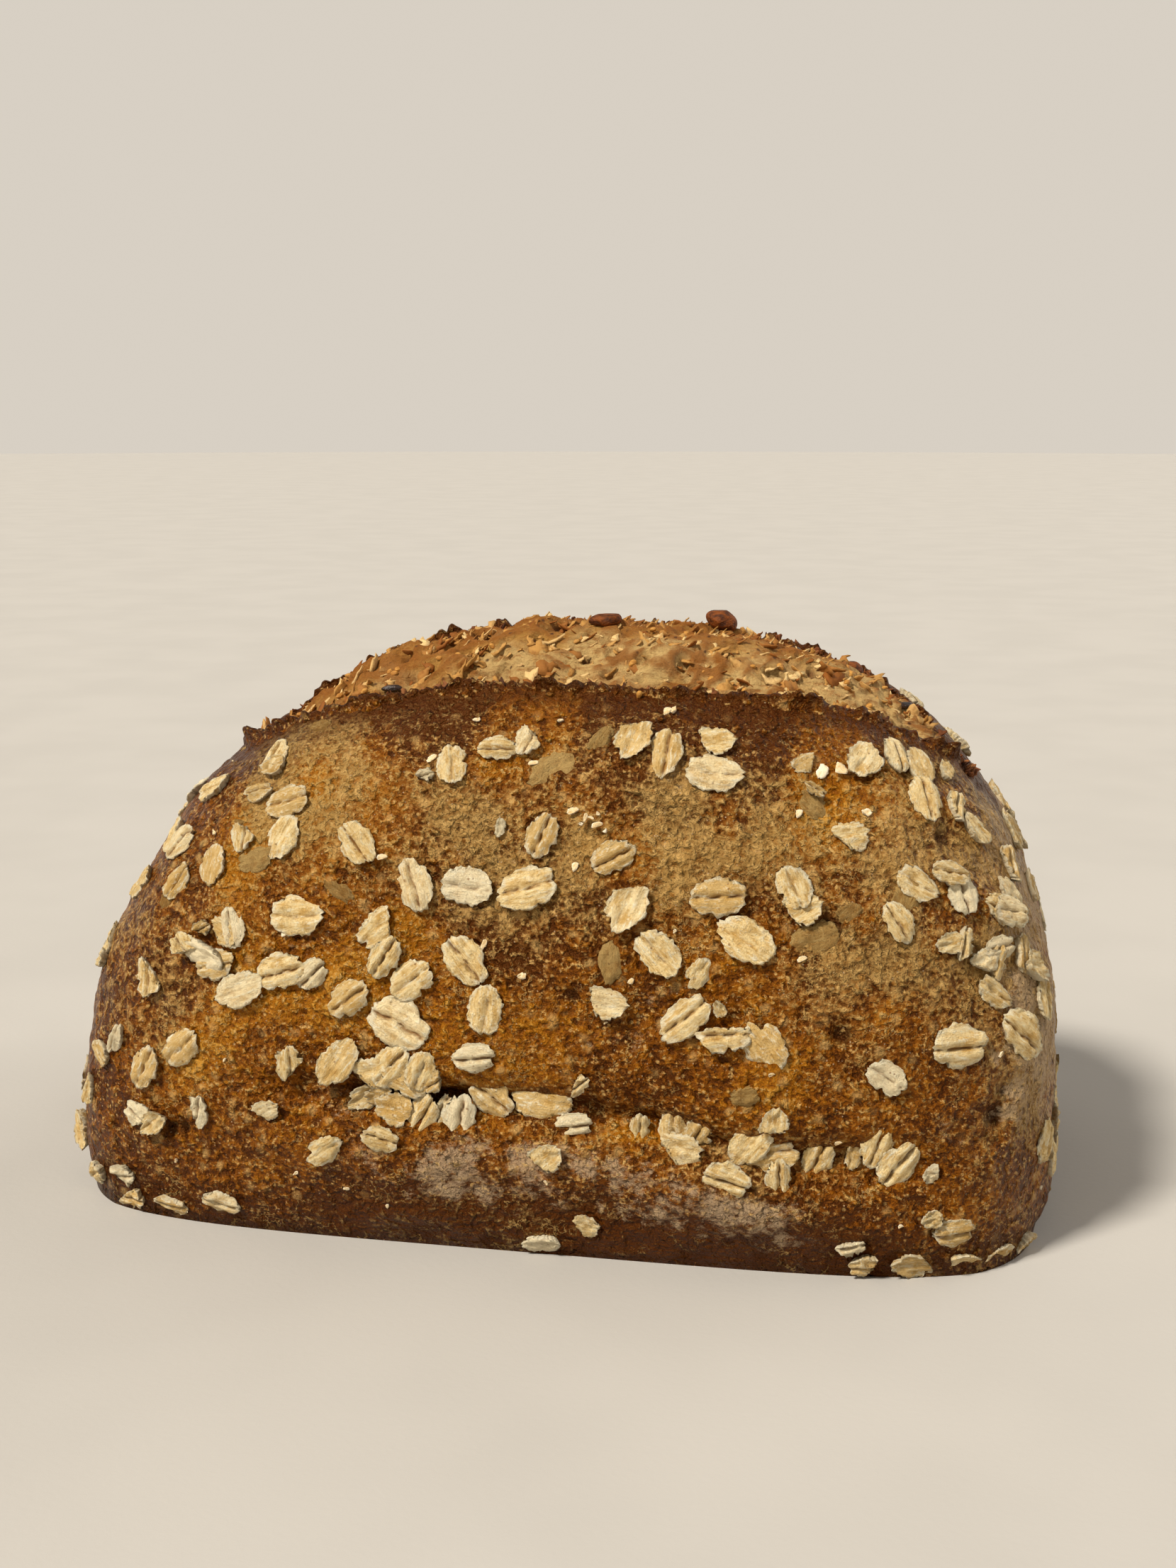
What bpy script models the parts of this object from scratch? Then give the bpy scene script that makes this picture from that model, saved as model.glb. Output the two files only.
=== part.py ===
"""Tin loaf with oat flakes baked onto its crust, one closed body in metres, +Z up.

X runs along the loaf, the flaked front looks to -Y and the flat base lies on z = 0.
Sizes below are millimetres; every mesh is scaled to metres once, at the end.
"""

import math
import random

import bmesh
import bpy
from mathutils import Matrix, Vector, noise

MM = 0.001

# Core: plan sections stacked from the base to the crest
HALF_LENGTH = 97.0
HALF_DEPTH = 55.0
HEIGHT = 110.0
FOOT_HEIGHT = 12.0
FOOT_INSET = 4.0
BASE_SQUARENESS = 4.5
CREST_SQUARENESS = 2.8
DOME_POWER = 2.3
LEFT_FULLNESS = 2.1
RIGHT_FULLNESS = 2.7
CREST_LEAN = 4.5
CORE_CENTRE = Vector((0.0, 0.0, 42.0))

# Cuts of the box that is pulled onto the core form
CUTS_ALONG = 25
CUTS_ACROSS = 15
CUT_HEIGHTS = (6, 12, 17, 21, 25, 29, 34, 41, 49, 58, 67, 76, 86, 97)

# Relief of the crust
LUMP_SIZE = 30.0
LUMP_DEPTH = 1.5
FOLD_LEVEL = 29.0
FOLD_DROP = 7.0
FOLD_DEPTH = 2.6
FOLD_WIDTH = 3.4
ROLL_HEIGHT = 1.6

# Torn opening along the top
EAR_CENTRE = 6.0
EAR_HALF_LENGTH = 74.0
EAR_REACH = 27.0
BACK_CENTRE = 18.0
BACK_HALF_LENGTH = 66.0
BACK_REACH = 15.0
TEAR_DEPTH = 1.8
CRUMB_SWELL = 2.2
CRUMB_ROUGHNESS = 1.7

# Standing lips of the torn crust
LIP_STATIONS = 34
EAR_LIP_RISE = 1.0
EAR_LIP_RAGGED = 2.4
BACK_LIP_RISE = 0.6
BACK_LIP_RAGGED = 2.2
LIP_ROOT = 2.6
LIP_FADE = 7.0
LIP_PEAKS = ((-58.0, 2.0), (48.0, 1.6), (74.0, 2.6))

# Flakes
FLAKE_LENGTH = 8.2
FLAKE_WIDTH = 5.5
FLAKE_RISE = 1.0
FLAKE_SUNK = 1.3
FLAKE_SIDES = 7
FLAKE_TAPER = 0.8

# Whole flakes on the front: height above the base -> (place along, turn in degrees, size)
FRONT_FLAKES = {
    91: ((-7, 0, 0.85), (24, 83, 1.15)),
    88: ((-15, 100, 0.9), (33, -5, 1.2), (69, 65, 1.0)),
    83: ((70, 80, 1.05),),
    80: ((-65, 45, 0.95), (-46, 22, 1.0)),
    77: ((3, 70, 0.95), (79, -70, 0.85)),
    74: ((-46, 72, 1.0), (-31, -48, 1.05), (16, 28, 0.95)),
    70: ((-70, 65, 0.95), (48, -65, 0.95), (69, -35, 0.95)),
    68: ((-60, 95, 0.9), (-20, -70, 1.15), (-10, -5, 1.1), (1, 17, 1.25), (35, 5, 1.15), (77, 90, 0.95)),
    66: ((86, -60, 0.85),),
    64: ((-68, 68, 0.9), (66, -62, 0.9), (84, -35, 0.9)),
    61: ((-80, 68, 0.9), (-42, 5, 1.2), (40, -30, 1.25)),
    58: ((-55, -70, 0.9), (25, -45, 1.1), (84, 0, 0.85)),
    55: ((-25, 60, 0.95), (-10, -50, 1.2), (32, 60, 0.7)),
    51: ((-58, 15, 0.95), (-45, 17, 1.1), (-39, 45, 0.8), (-20, 40, 1.05), (83, -40, 0.9)),
    47: ((-53, 25, 1.15), (-32, 38, 1.0), (-6, 85, 1.05), (30, 40, 1.2), (92, 80, 0.9)),
    43: ((-22, -28, 1.4), (44, -50, 1.1), (77, 0, 1.2), (88, -45, 1.15)),
    38: ((-8, 8, 0.95), (65, -35, 0.9)),
    35: ((-65, 45, 1.0), (-34, 52, 1.2), (-24, 50, 1.05), (-18, 70, 0.9)),
    30: ((-84, -35, 0.7), (-73, 65, 1.0), (-5, -38, 1.05), (4, -5, 1.25)),
    26: ((-18, 60, 1.05), (-11, 78, 1.05), (10, 10, 0.85), (22, 85, 0.7), (28, 88, 1.0)),
    25: ((42, 50, 1.15), (64, 70, 0.95)),
    22: ((-88, 80, 0.75), (-25, -15, 0.8), (54, 65, 0.9), (68, 50, 1.1)),
    19: ((-36, 38, 0.9), (38, -15, 1.0), (47, 90, 0.85)),
    9: ((78, 5, 0.9),),
    5: ((-87, 30, 0.75), (-58, -10, 0.9)),
}

# Flakes spread over the sides that turn away
SPREAD_SEED = 11
BACK_COUNT = 66
END_COUNT = 20
SPREAD_FLOOR = 9.0
SPREAD_TOP = 95.0
CLUSTER_GAP = 8.5
SINGLE_GAP = 11.5
CLUSTER_SHARE = 0.4

# Kernels lying in the torn crumb: along, across, length, width, lean
KERNELS = ((30.0, 3.0, 7.0, 5.0, 50.0), (8.0, -4.0, 6.0, 3.6, 5.0), (55.0, 3.0, 6.0, 4.0, 25.0))


def clear_scene():
    """Remove every object and mesh left in the scene."""
    for item in list(bpy.data.objects):
        bpy.data.objects.remove(item, do_unlink=True)
    for mesh in list(bpy.data.meshes):
        bpy.data.meshes.remove(mesh)


def section(height, toward_right):
    """Half length, half depth and squareness of the plan section at one height."""
    if height < FOOT_HEIGHT:
        sunk = (FOOT_HEIGHT - max(height, 0.0)) / FOOT_HEIGHT
        inset = FOOT_INSET * (1.0 - math.sqrt(1.0 - sunk * sunk))
        return HALF_LENGTH - inset, HALF_DEPTH - inset, BASE_SQUARENESS
    rise = min((height - FOOT_HEIGHT) / (HEIGHT - FOOT_HEIGHT), 1.0)
    left = 1.0 - rise**DOME_POWER
    fullness = RIGHT_FULLNESS if toward_right else LEFT_FULLNESS
    mean = 0.5 * (LEFT_FULLNESS + RIGHT_FULLNESS)
    square = BASE_SQUARENESS + (CREST_SQUARENESS - BASE_SQUARENESS) * rise
    return HALF_LENGTH * left ** (1.0 / fullness), HALF_DEPTH * left ** (1.0 / mean), square


def lean(height):
    """Sideways shift of the plan section at one height."""
    return CREST_LEAN * max(0.0, height - FOOT_HEIGHT) / (HEIGHT - FOOT_HEIGHT)


def fill(point):
    """Value that is 1 on the core surface and less inside it."""
    if point.z < 0.0 or point.z >= HEIGHT:
        return 9.0
    shift = point.x - lean(point.z)
    half_length, half_depth, square = section(point.z, shift > 0.0)
    along = abs(shift) / max(half_length, 1e-6)
    across = abs(point.y) / max(half_depth, 1e-6)
    return min(along**square + across**square, 9.0)


def march(start, end):
    """Point of the core surface between a point inside and a point outside."""
    inside, outside = start.copy(), end.copy()
    for _ in range(32):
        middle = (inside + outside) * 0.5
        if fill(middle) <= 1.0:
            inside = middle
        else:
            outside = middle
    return (inside + outside) * 0.5


def on_side(along, up, side):
    """Core surface point at a place along and a height, side -1 front or +1 back."""
    return march(Vector((along, 0.0, up)), Vector((along, side * 90.0, up)))


def on_end(across, up, side):
    """Core surface point on the left (-1) or right (+1) end."""
    return march(Vector((lean(up), across, up)), Vector((side * 130.0, across, up)))


def on_top(along, across):
    """Core surface point straight above a place in the plan."""
    return march(Vector((along, across, 30.0)), Vector((along, across, 130.0)))


def outward(point):
    """Unit outward direction of the core surface."""
    step = 0.4
    slope = Vector()
    for axis in range(3):
        reach = Vector()
        reach[axis] = step
        slope[axis] = fill(point + reach) - fill(point - reach)
    if point.z > HEIGHT - 1.0 or slope.length < 1e-9:
        return Vector((0.0, 0.0, 1.0))
    return slope.normalized()


def smooth(low, high, value):
    """Smooth ramp from 0 at low to 1 at high."""
    part = min(max((value - low) / (high - low), 0.0), 1.0)
    return part * part * (3.0 - 2.0 * part)


def ear_line(along):
    """Place across of the front edge of the opening."""
    part = min(abs((along - EAR_CENTRE) / EAR_HALF_LENGTH), 1.0)
    return -EAR_REACH * (1.0 - part**2.6) ** 0.45


def back_line(along):
    """Place across of the rear edge of the opening."""
    part = (along - BACK_CENTRE) / BACK_HALF_LENGTH
    return BACK_REACH * (1.0 - part * part)


def opening(point):
    """Distance inside the torn opening, negative outside it."""
    if point.z < 60.0:
        return -40.0
    if abs(point.x - EAR_CENTRE) >= EAR_HALF_LENGTH:
        return -abs(abs(point.x - EAR_CENTRE) - EAR_HALF_LENGTH)
    return min(point.y - ear_line(point.x), back_line(point.x) - point.y)


def relief(point):
    """Height of the baked surface over the core at one surface point."""
    lumps = noise.noise(point / LUMP_SIZE) + 0.45 * noise.noise(point / (0.4 * LUMP_SIZE))
    height = LUMP_DEPTH * lumps * smooth(0.0, 8.0, point.z)
    if point.y < -20.0 and point.z < 60.0:
        level = FOLD_LEVEL - FOLD_DROP * smooth(8.0, 52.0, point.x)
        below = level - point.z
        span = smooth(-60.0, -34.0, point.x) * smooth(84.0, 60.0, point.x)
        height -= span * FOLD_DEPTH * math.exp(-((below / FOLD_WIDTH) ** 2))
        height += span * ROLL_HEIGHT * math.exp(-(((below - 10.0) / 6.0) ** 2))
    depth = opening(point)
    inner = smooth(-1.0, 3.0, depth)
    swell = CRUMB_SWELL * smooth(2.0, 16.0, depth) - TEAR_DEPTH
    crumb = CRUMB_ROUGHNESS * (noise.noise(point / 11.0) + 0.6 * noise.noise(point / 6.0))
    return height * (1.0 - inner) + inner * (swell + crumb + 0.5 * height)


def baked(point):
    """Core surface point moved out onto the baked surface."""
    return point + outward(point) * relief(point)


def cut_box(low, high, cuts):
    """Box between two corners, cut across each axis at the given places."""
    shape = bmesh.new()
    size = high - low
    middle = Matrix.Translation((low + high) * 0.5)
    bmesh.ops.create_cube(shape, size=1.0, matrix=middle @ Matrix.Diagonal((*size, 1.0)))
    for axis, places in enumerate(cuts):
        direction = Vector((0.0, 0.0, 0.0))
        direction[axis] = 1.0
        for place in places:
            whole = shape.verts[:] + shape.edges[:] + shape.faces[:]
            bmesh.ops.bisect_plane(
                shape, geom=whole, plane_co=direction * place, plane_no=direction, dist=1e-5
            )
    return shape


def even_cuts(half, count):
    """Inner cut places that divide a span evenly."""
    return [half * (2.0 * step / (count + 1) - 1.0) for step in range(1, count + 1)]


def finish(shape, name, home, material=None):
    """Turn a shape into a named object in a collection."""
    bmesh.ops.recalc_face_normals(shape, faces=shape.faces)
    mesh = bpy.data.meshes.new(name)
    shape.to_mesh(mesh)
    shape.free()
    item = bpy.data.objects.new(name, mesh)
    home.objects.link(item)
    if material:
        mesh.materials.append(material)
    return item


def build_core():
    """Domed loaf body with its relief and one flat base face."""
    low = Vector((-HALF_LENGTH, -HALF_DEPTH, 0.0))
    high = Vector((HALF_LENGTH, HALF_DEPTH, HEIGHT))
    cuts = (even_cuts(HALF_LENGTH, CUTS_ALONG), even_cuts(HALF_DEPTH, CUTS_ACROSS), CUT_HEIGHTS)
    shape = cut_box(low, high, cuts)
    base = [face for face in shape.faces if face.calc_center_median().z < 1e-4]
    bmesh.ops.dissolve_faces(shape, faces=base, use_verts=False)
    for vert in shape.verts:
        level = vert.co.z < 1e-4
        ray = (vert.co - CORE_CENTRE).normalized()
        point = march(CORE_CENTRE, CORE_CENTRE + ray * 160.0)
        vert.co = point if level else baked(point)
        vert.co.z = 0.0 if level else max(vert.co.z, 0.3)
    return shape


def build_lip(line, rise, ragged, first, last):
    """Ragged standing edge of crust that follows one side of the opening."""
    length = last - first
    stations = [first + length * step / LIP_STATIONS for step in range(1, LIP_STATIONS)]
    shape = cut_box(Vector((first, -1, -1)), Vector((last, 1, 1)), (stations, (), ()))
    away = -1.0 if line is ear_line else 1.0
    for vert in shape.verts:
        along = vert.co.x
        foot = on_top(along, line(along))
        ahead = on_top(along + 1.0, line(along + 1.0))
        normal = outward(foot)
        side = normal.cross(ahead - foot).normalized() * (-1.0 if line is ear_line else 1.0)
        if side.y * away < 0.0:
            side.negate()
        peak = sum(extra * math.exp(-(((along - at) / 3.2) ** 2)) for at, extra in LIP_PEAKS)
        height = rise + ragged * abs(noise.noise(Vector((along / 3.1, away * 7.0, 0.0))))
        if line is ear_line:
            height += peak
        shown = smooth(0.0, LIP_FADE, min(along - first, last - along))
        height = height * shown - 1.2 * (1.0 - shown)
        if vert.co.z < 0.0:
            offset = side * (3.4 if vert.co.y > 0.0 else -2.0) - normal * LIP_ROOT
        else:
            offset = side * (1.0 if vert.co.y > 0.0 else -0.4) + normal * height
        vert.co = baked(foot) + offset
    return shape


def laid(point, turn):
    """Frame on the baked surface: x along the turned axis, z outward."""
    normal = outward(point)
    level = Vector((0.0, 0.0, 1.0)).cross(normal)
    if level.length < 1e-3:
        level = Vector((1.0, 0.0, 0.0))
    level.normalize()
    upward = normal.cross(level)
    angle = math.radians(turn)
    long_axis = level * math.cos(angle) + upward * math.sin(angle)
    short_axis = normal.cross(long_axis)
    turned = Matrix((long_axis, short_axis, normal)).transposed().to_4x4()
    return Matrix.Translation(baked(point)) @ turned


def build_flake(point, turn, size):
    """Thin tapered oval that sits in the crust."""
    shape = bmesh.new()
    thick = FLAKE_RISE + FLAKE_SUNK
    middle = Matrix.Translation((0.0, 0.0, 0.5 * thick - FLAKE_SUNK))
    oval = Matrix.Diagonal((0.5 * size * FLAKE_LENGTH, 0.5 * size * FLAKE_WIDTH, 1.0, 1.0))
    bmesh.ops.create_cone(
        shape,
        cap_ends=True,
        segments=FLAKE_SIDES,
        radius1=1.0,
        radius2=FLAKE_TAPER,
        depth=thick,
        matrix=laid(point, turn) @ middle @ oval,
    )
    return shape


def build_kernel(along, across, length, width, tilt):
    """Smooth kernel half sunk in the crumb."""
    shape = bmesh.new()
    point = on_top(along, across)
    tip = Matrix.Rotation(math.radians(tilt), 4, "Y")
    body = Matrix.Diagonal((0.5 * length, 0.5 * width, 0.5 * width, 1.0))
    lift = Matrix.Translation((0.0, 0.0, 0.12 * width))
    bmesh.ops.create_uvsphere(
        shape, u_segments=8, v_segments=5, radius=1.0, matrix=laid(point, 0.0) @ lift @ tip @ body
    )
    return shape


def spread(draw, count, place, half_width):
    """Seeded flakes on one side: evenly spaced singles, some with a close neighbour."""
    chosen = []
    tries = 0
    while len(chosen) < count and tries < 9000:
        tries += 1
        beside = bool(chosen) and draw.random() < CLUSTER_SHARE
        gap = CLUSTER_GAP if beside else SINGLE_GAP
        if beside:
            near = draw.choice(chosen)
            bearing = draw.uniform(0.0, 2.0 * math.pi)
            reach = draw.uniform(gap, 1.2 * gap)
            across = near[0] + reach * math.cos(bearing)
            up = near[1] + reach * math.sin(bearing)
        else:
            across = draw.uniform(-half_width, half_width)
            up = draw.uniform(SPREAD_FLOOR, SPREAD_TOP)
        if not SPREAD_FLOOR <= up <= SPREAD_TOP or abs(across) > half_width:
            continue
        point = place(across, up)
        room = section(up, across > 0.0)[0 if half_width > HALF_DEPTH else 1]
        if abs(across) > 0.86 * room or opening(point) > -4.0:
            continue
        if any(math.hypot(across - a, up - b) < gap for a, b in chosen):
            continue
        chosen.append((across, up))
    return [(place(across, up), draw.uniform(-90, 90), draw.uniform(0.88, 1.12)) for across, up in chosen]


def flake_places():
    """Every flake as (surface point, turn, size)."""
    draw = random.Random(SPREAD_SEED)
    places = []
    for up, row in FRONT_FLAKES.items():
        for along, turn, size in row:
            room = section(up, along > 0.0)[0] - 1.5
            held = max(-room + lean(up), min(room + lean(up), along))
            places.append((on_side(held, up, -1.0), turn, size))
    places += spread(draw, BACK_COUNT, lambda a, up: on_side(a, up, 1.0), 0.9 * HALF_LENGTH)
    places += spread(draw, END_COUNT, lambda a, up: on_end(a, up, -1.0), 0.8 * HALF_DEPTH)
    places += spread(draw, END_COUNT, lambda a, up: on_end(a, up, 1.0), 0.8 * HALF_DEPTH)
    return places


def main():
    """Build the core, join lips, kernels and flakes to it and scale to metres."""
    clear_scene()
    crust = bpy.data.materials.new("CrustBrown")
    crust.use_nodes = True
    surface = crust.node_tree.nodes["Principled BSDF"]
    surface.inputs["Base Color"].default_value = (0.30, 0.13, 0.035, 1.0)
    surface.inputs["Roughness"].default_value = 0.55

    home = bpy.data.collections.new("TinLoaf")
    joined = bpy.data.collections.new("JoinedPieces")
    for collection in (home, joined):
        bpy.context.scene.collection.children.link(collection)

    loaf = finish(build_core(), "loaf", home, crust)
    finish(build_lip(ear_line, EAR_LIP_RISE, EAR_LIP_RAGGED, -65.0, 78.5), "EarLip", joined)
    finish(build_lip(back_line, BACK_LIP_RISE, BACK_LIP_RAGGED, -60.0, 76.0), "BackLip", joined)
    for index, kernel in enumerate(KERNELS):
        finish(build_kernel(*kernel), f"Kernel{index}", joined)
    for index, (point, turn, size) in enumerate(flake_places()):
        finish(build_flake(point, turn, size), f"Flake{index}", joined)
    for item in joined.objects:
        item.hide_render = True
        item.display_type = "WIRE"

    union = loaf.modifiers.new("JoinPieces", "BOOLEAN")
    union.operation = "UNION"
    union.operand_type = "COLLECTION"
    union.collection = joined
    union.solver = "EXACT"
    depsgraph = bpy.context.evaluated_depsgraph_get()
    solid = bpy.data.meshes.new_from_object(loaf.evaluated_get(depsgraph))
    loaf.modifiers.remove(union)
    for item in list(joined.objects):
        bpy.data.objects.remove(item, do_unlink=True)
    bpy.data.collections.remove(joined)

    shape = bmesh.new()
    shape.from_mesh(solid)
    bmesh.ops.triangulate(shape, faces=shape.faces)
    bmesh.ops.scale(shape, vec=(MM, MM, MM), verts=shape.verts)
    shape.to_mesh(solid)
    shape.free()
    solid.name = "loaf"
    loaf.data = solid


main()
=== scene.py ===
"""Tin loaf with oat flakes: baked crust, torn crumb, flakes and kernels, with light and camera.

Shapes are laid out in millimetres in the CAD model's own frame: X along the loaf, -Y out of the
flaked front, +Z up. Each mesh is scaled to metres when it is made.
"""

import logging
import math
import random
from collections.abc import Callable, Sequence
from dataclasses import dataclass, field, replace
from enum import Enum

import bmesh
import bpy
import numpy as np
from mathutils import Euler, Matrix, Vector, noise


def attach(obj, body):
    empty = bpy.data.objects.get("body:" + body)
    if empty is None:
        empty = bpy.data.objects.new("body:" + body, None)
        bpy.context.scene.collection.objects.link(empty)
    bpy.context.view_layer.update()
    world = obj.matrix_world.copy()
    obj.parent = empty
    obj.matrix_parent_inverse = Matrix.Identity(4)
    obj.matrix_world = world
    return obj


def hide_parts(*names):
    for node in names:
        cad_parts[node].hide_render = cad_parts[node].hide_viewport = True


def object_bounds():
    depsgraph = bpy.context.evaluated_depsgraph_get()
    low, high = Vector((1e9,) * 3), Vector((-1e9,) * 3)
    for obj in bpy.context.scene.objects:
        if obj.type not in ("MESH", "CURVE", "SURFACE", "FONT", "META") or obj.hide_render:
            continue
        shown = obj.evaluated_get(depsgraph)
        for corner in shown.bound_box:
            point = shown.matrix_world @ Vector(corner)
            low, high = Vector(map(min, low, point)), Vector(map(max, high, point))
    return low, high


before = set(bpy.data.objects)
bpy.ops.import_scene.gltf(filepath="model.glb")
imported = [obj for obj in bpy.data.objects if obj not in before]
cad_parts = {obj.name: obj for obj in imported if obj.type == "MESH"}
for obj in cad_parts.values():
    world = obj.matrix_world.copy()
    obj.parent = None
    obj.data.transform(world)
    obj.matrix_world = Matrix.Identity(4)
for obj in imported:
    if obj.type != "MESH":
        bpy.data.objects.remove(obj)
CAD_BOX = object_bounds()

LOG = logging.getLogger("tin_loaf")
MM = 0.001
BODY = "root"
NODE = "loaf"
MIDDLE = 0.5
SLOPE = (0.0, 0.5, 0.0)
COARSE = 1.0

Colour = tuple[float, float, float]
Places = dict[int, tuple[tuple[float, float, float], ...]]


class Side(Enum):
    """A face of the loaf that carries flakes."""

    FRONT = "front"
    BACK = "back"
    LEFT = "left"
    RIGHT = "right"


class TornEdge(Enum):
    """One of the two edges of the opening on the crest."""

    EAR = "ear"
    BACK = "back"


class FlakeKind(Enum):
    """How much of an oat flake is left and how it was baked."""

    WHOLE = "whole"
    BROKEN = "broken"
    TOASTED = "toasted"


def smooth(low: float, high: float, value: np.ndarray | float) -> np.ndarray:
    """Give a smooth ramp from 0 at low to 1 at high.

    Args:
        low: Value where the ramp starts.
        high: Value where the ramp ends; it may be below low.
        value: Values to read the ramp at.

    Returns:
        The ramp at each value.
    """
    part = np.clip((np.asarray(value, float) - low) / (high - low), 0.0, 1.0)
    return part * part * (3.0 - 2.0 * part)


def bell(value: np.ndarray, middle: float, width: float) -> np.ndarray:
    """Give a bell curve that is 1 where the value is at the middle."""
    return np.exp(-(((value - middle) / width) ** 2))


def ripple(points: np.ndarray, size: float, shift: float = 0.0) -> np.ndarray:
    """Give smooth noise at each point.

    Args:
        points: Places in millimetres, one row each.
        size: Width of one swell in millimetres.
        shift: Offset that picks another pattern.

    Returns:
        Noise between about -1 and 1.
    """
    return np.array([noise.noise(row) for row in (points / size + shift).tolist()])


def unit(vectors: np.ndarray) -> np.ndarray:
    """Scale each row to length one."""
    return vectors / np.maximum(np.linalg.norm(vectors, axis=-1, keepdims=True), 1e-12)


def hold_in_box(points: np.ndarray) -> np.ndarray:
    """Keep points in millimetres inside the CAD model's box."""
    low, high = (np.array(corner) / MM for corner in CAD_BOX)
    return np.clip(points, low, high)


def grid_faces(number: np.ndarray) -> list[list[int]]:
    """Give the four-sided faces of a grid of point numbers."""
    corners = (number[:-1, :-1], number[1:, :-1], number[1:, 1:], number[:-1, 1:])
    return np.stack(corners, axis=-1).reshape(-1, 4).tolist()


def add_object(name: str, data: bpy.types.ID) -> bpy.types.Object:
    """Make an object and link it to the scene."""
    made = bpy.data.objects.new(name, data)
    bpy.context.scene.collection.objects.link(made)
    return made


def make_piece(
    name: str,
    points: np.ndarray,
    faces: Sequence[Sequence[int]],
    marks: dict[str, np.ndarray] | None = None,
) -> bpy.types.Object:
    """Make a smooth-shaded object from points and faces.

    Args:
        name: Name of the object and its mesh.
        points: Places in millimetres, one row each.
        faces: Point numbers of each face, counter-clockwise from outside.
        marks: Named float or vector values, one per point.

    Returns:
        The new object, linked to the scene.
    """
    mesh = bpy.data.meshes.new(name)
    mesh.from_pydata((points * MM).tolist(), [], faces)
    for label, values in (marks or {}).items():
        vector = values.ndim == 2
        layer = mesh.attributes.new(label, "FLOAT_VECTOR" if vector else "FLOAT", "POINT")
        layer.data.foreach_set("vector" if vector else "value", values.astype(np.float32).ravel())
    mesh.shade_smooth()
    mesh.update()
    return add_object(name, mesh)


def face_outward(piece: bpy.types.Object) -> None:
    """Turn every face of a closed piece outward."""
    shape = bmesh.new()
    shape.from_mesh(piece.data)
    bmesh.ops.recalc_face_normals(shape, faces=shape.faces)
    shape.to_mesh(piece.data)
    shape.free()


def settle(piece: bpy.types.Object) -> bpy.types.Object:
    """Let a piece ride with the loaf and stand for its CAD node.

    Args:
        piece: The finished piece.

    Returns:
        The same piece.
    """
    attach(piece, BODY)
    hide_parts(NODE)
    LOG.info("%s: %d faces", piece.name, len(piece.data.polygons))
    return piece


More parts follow.
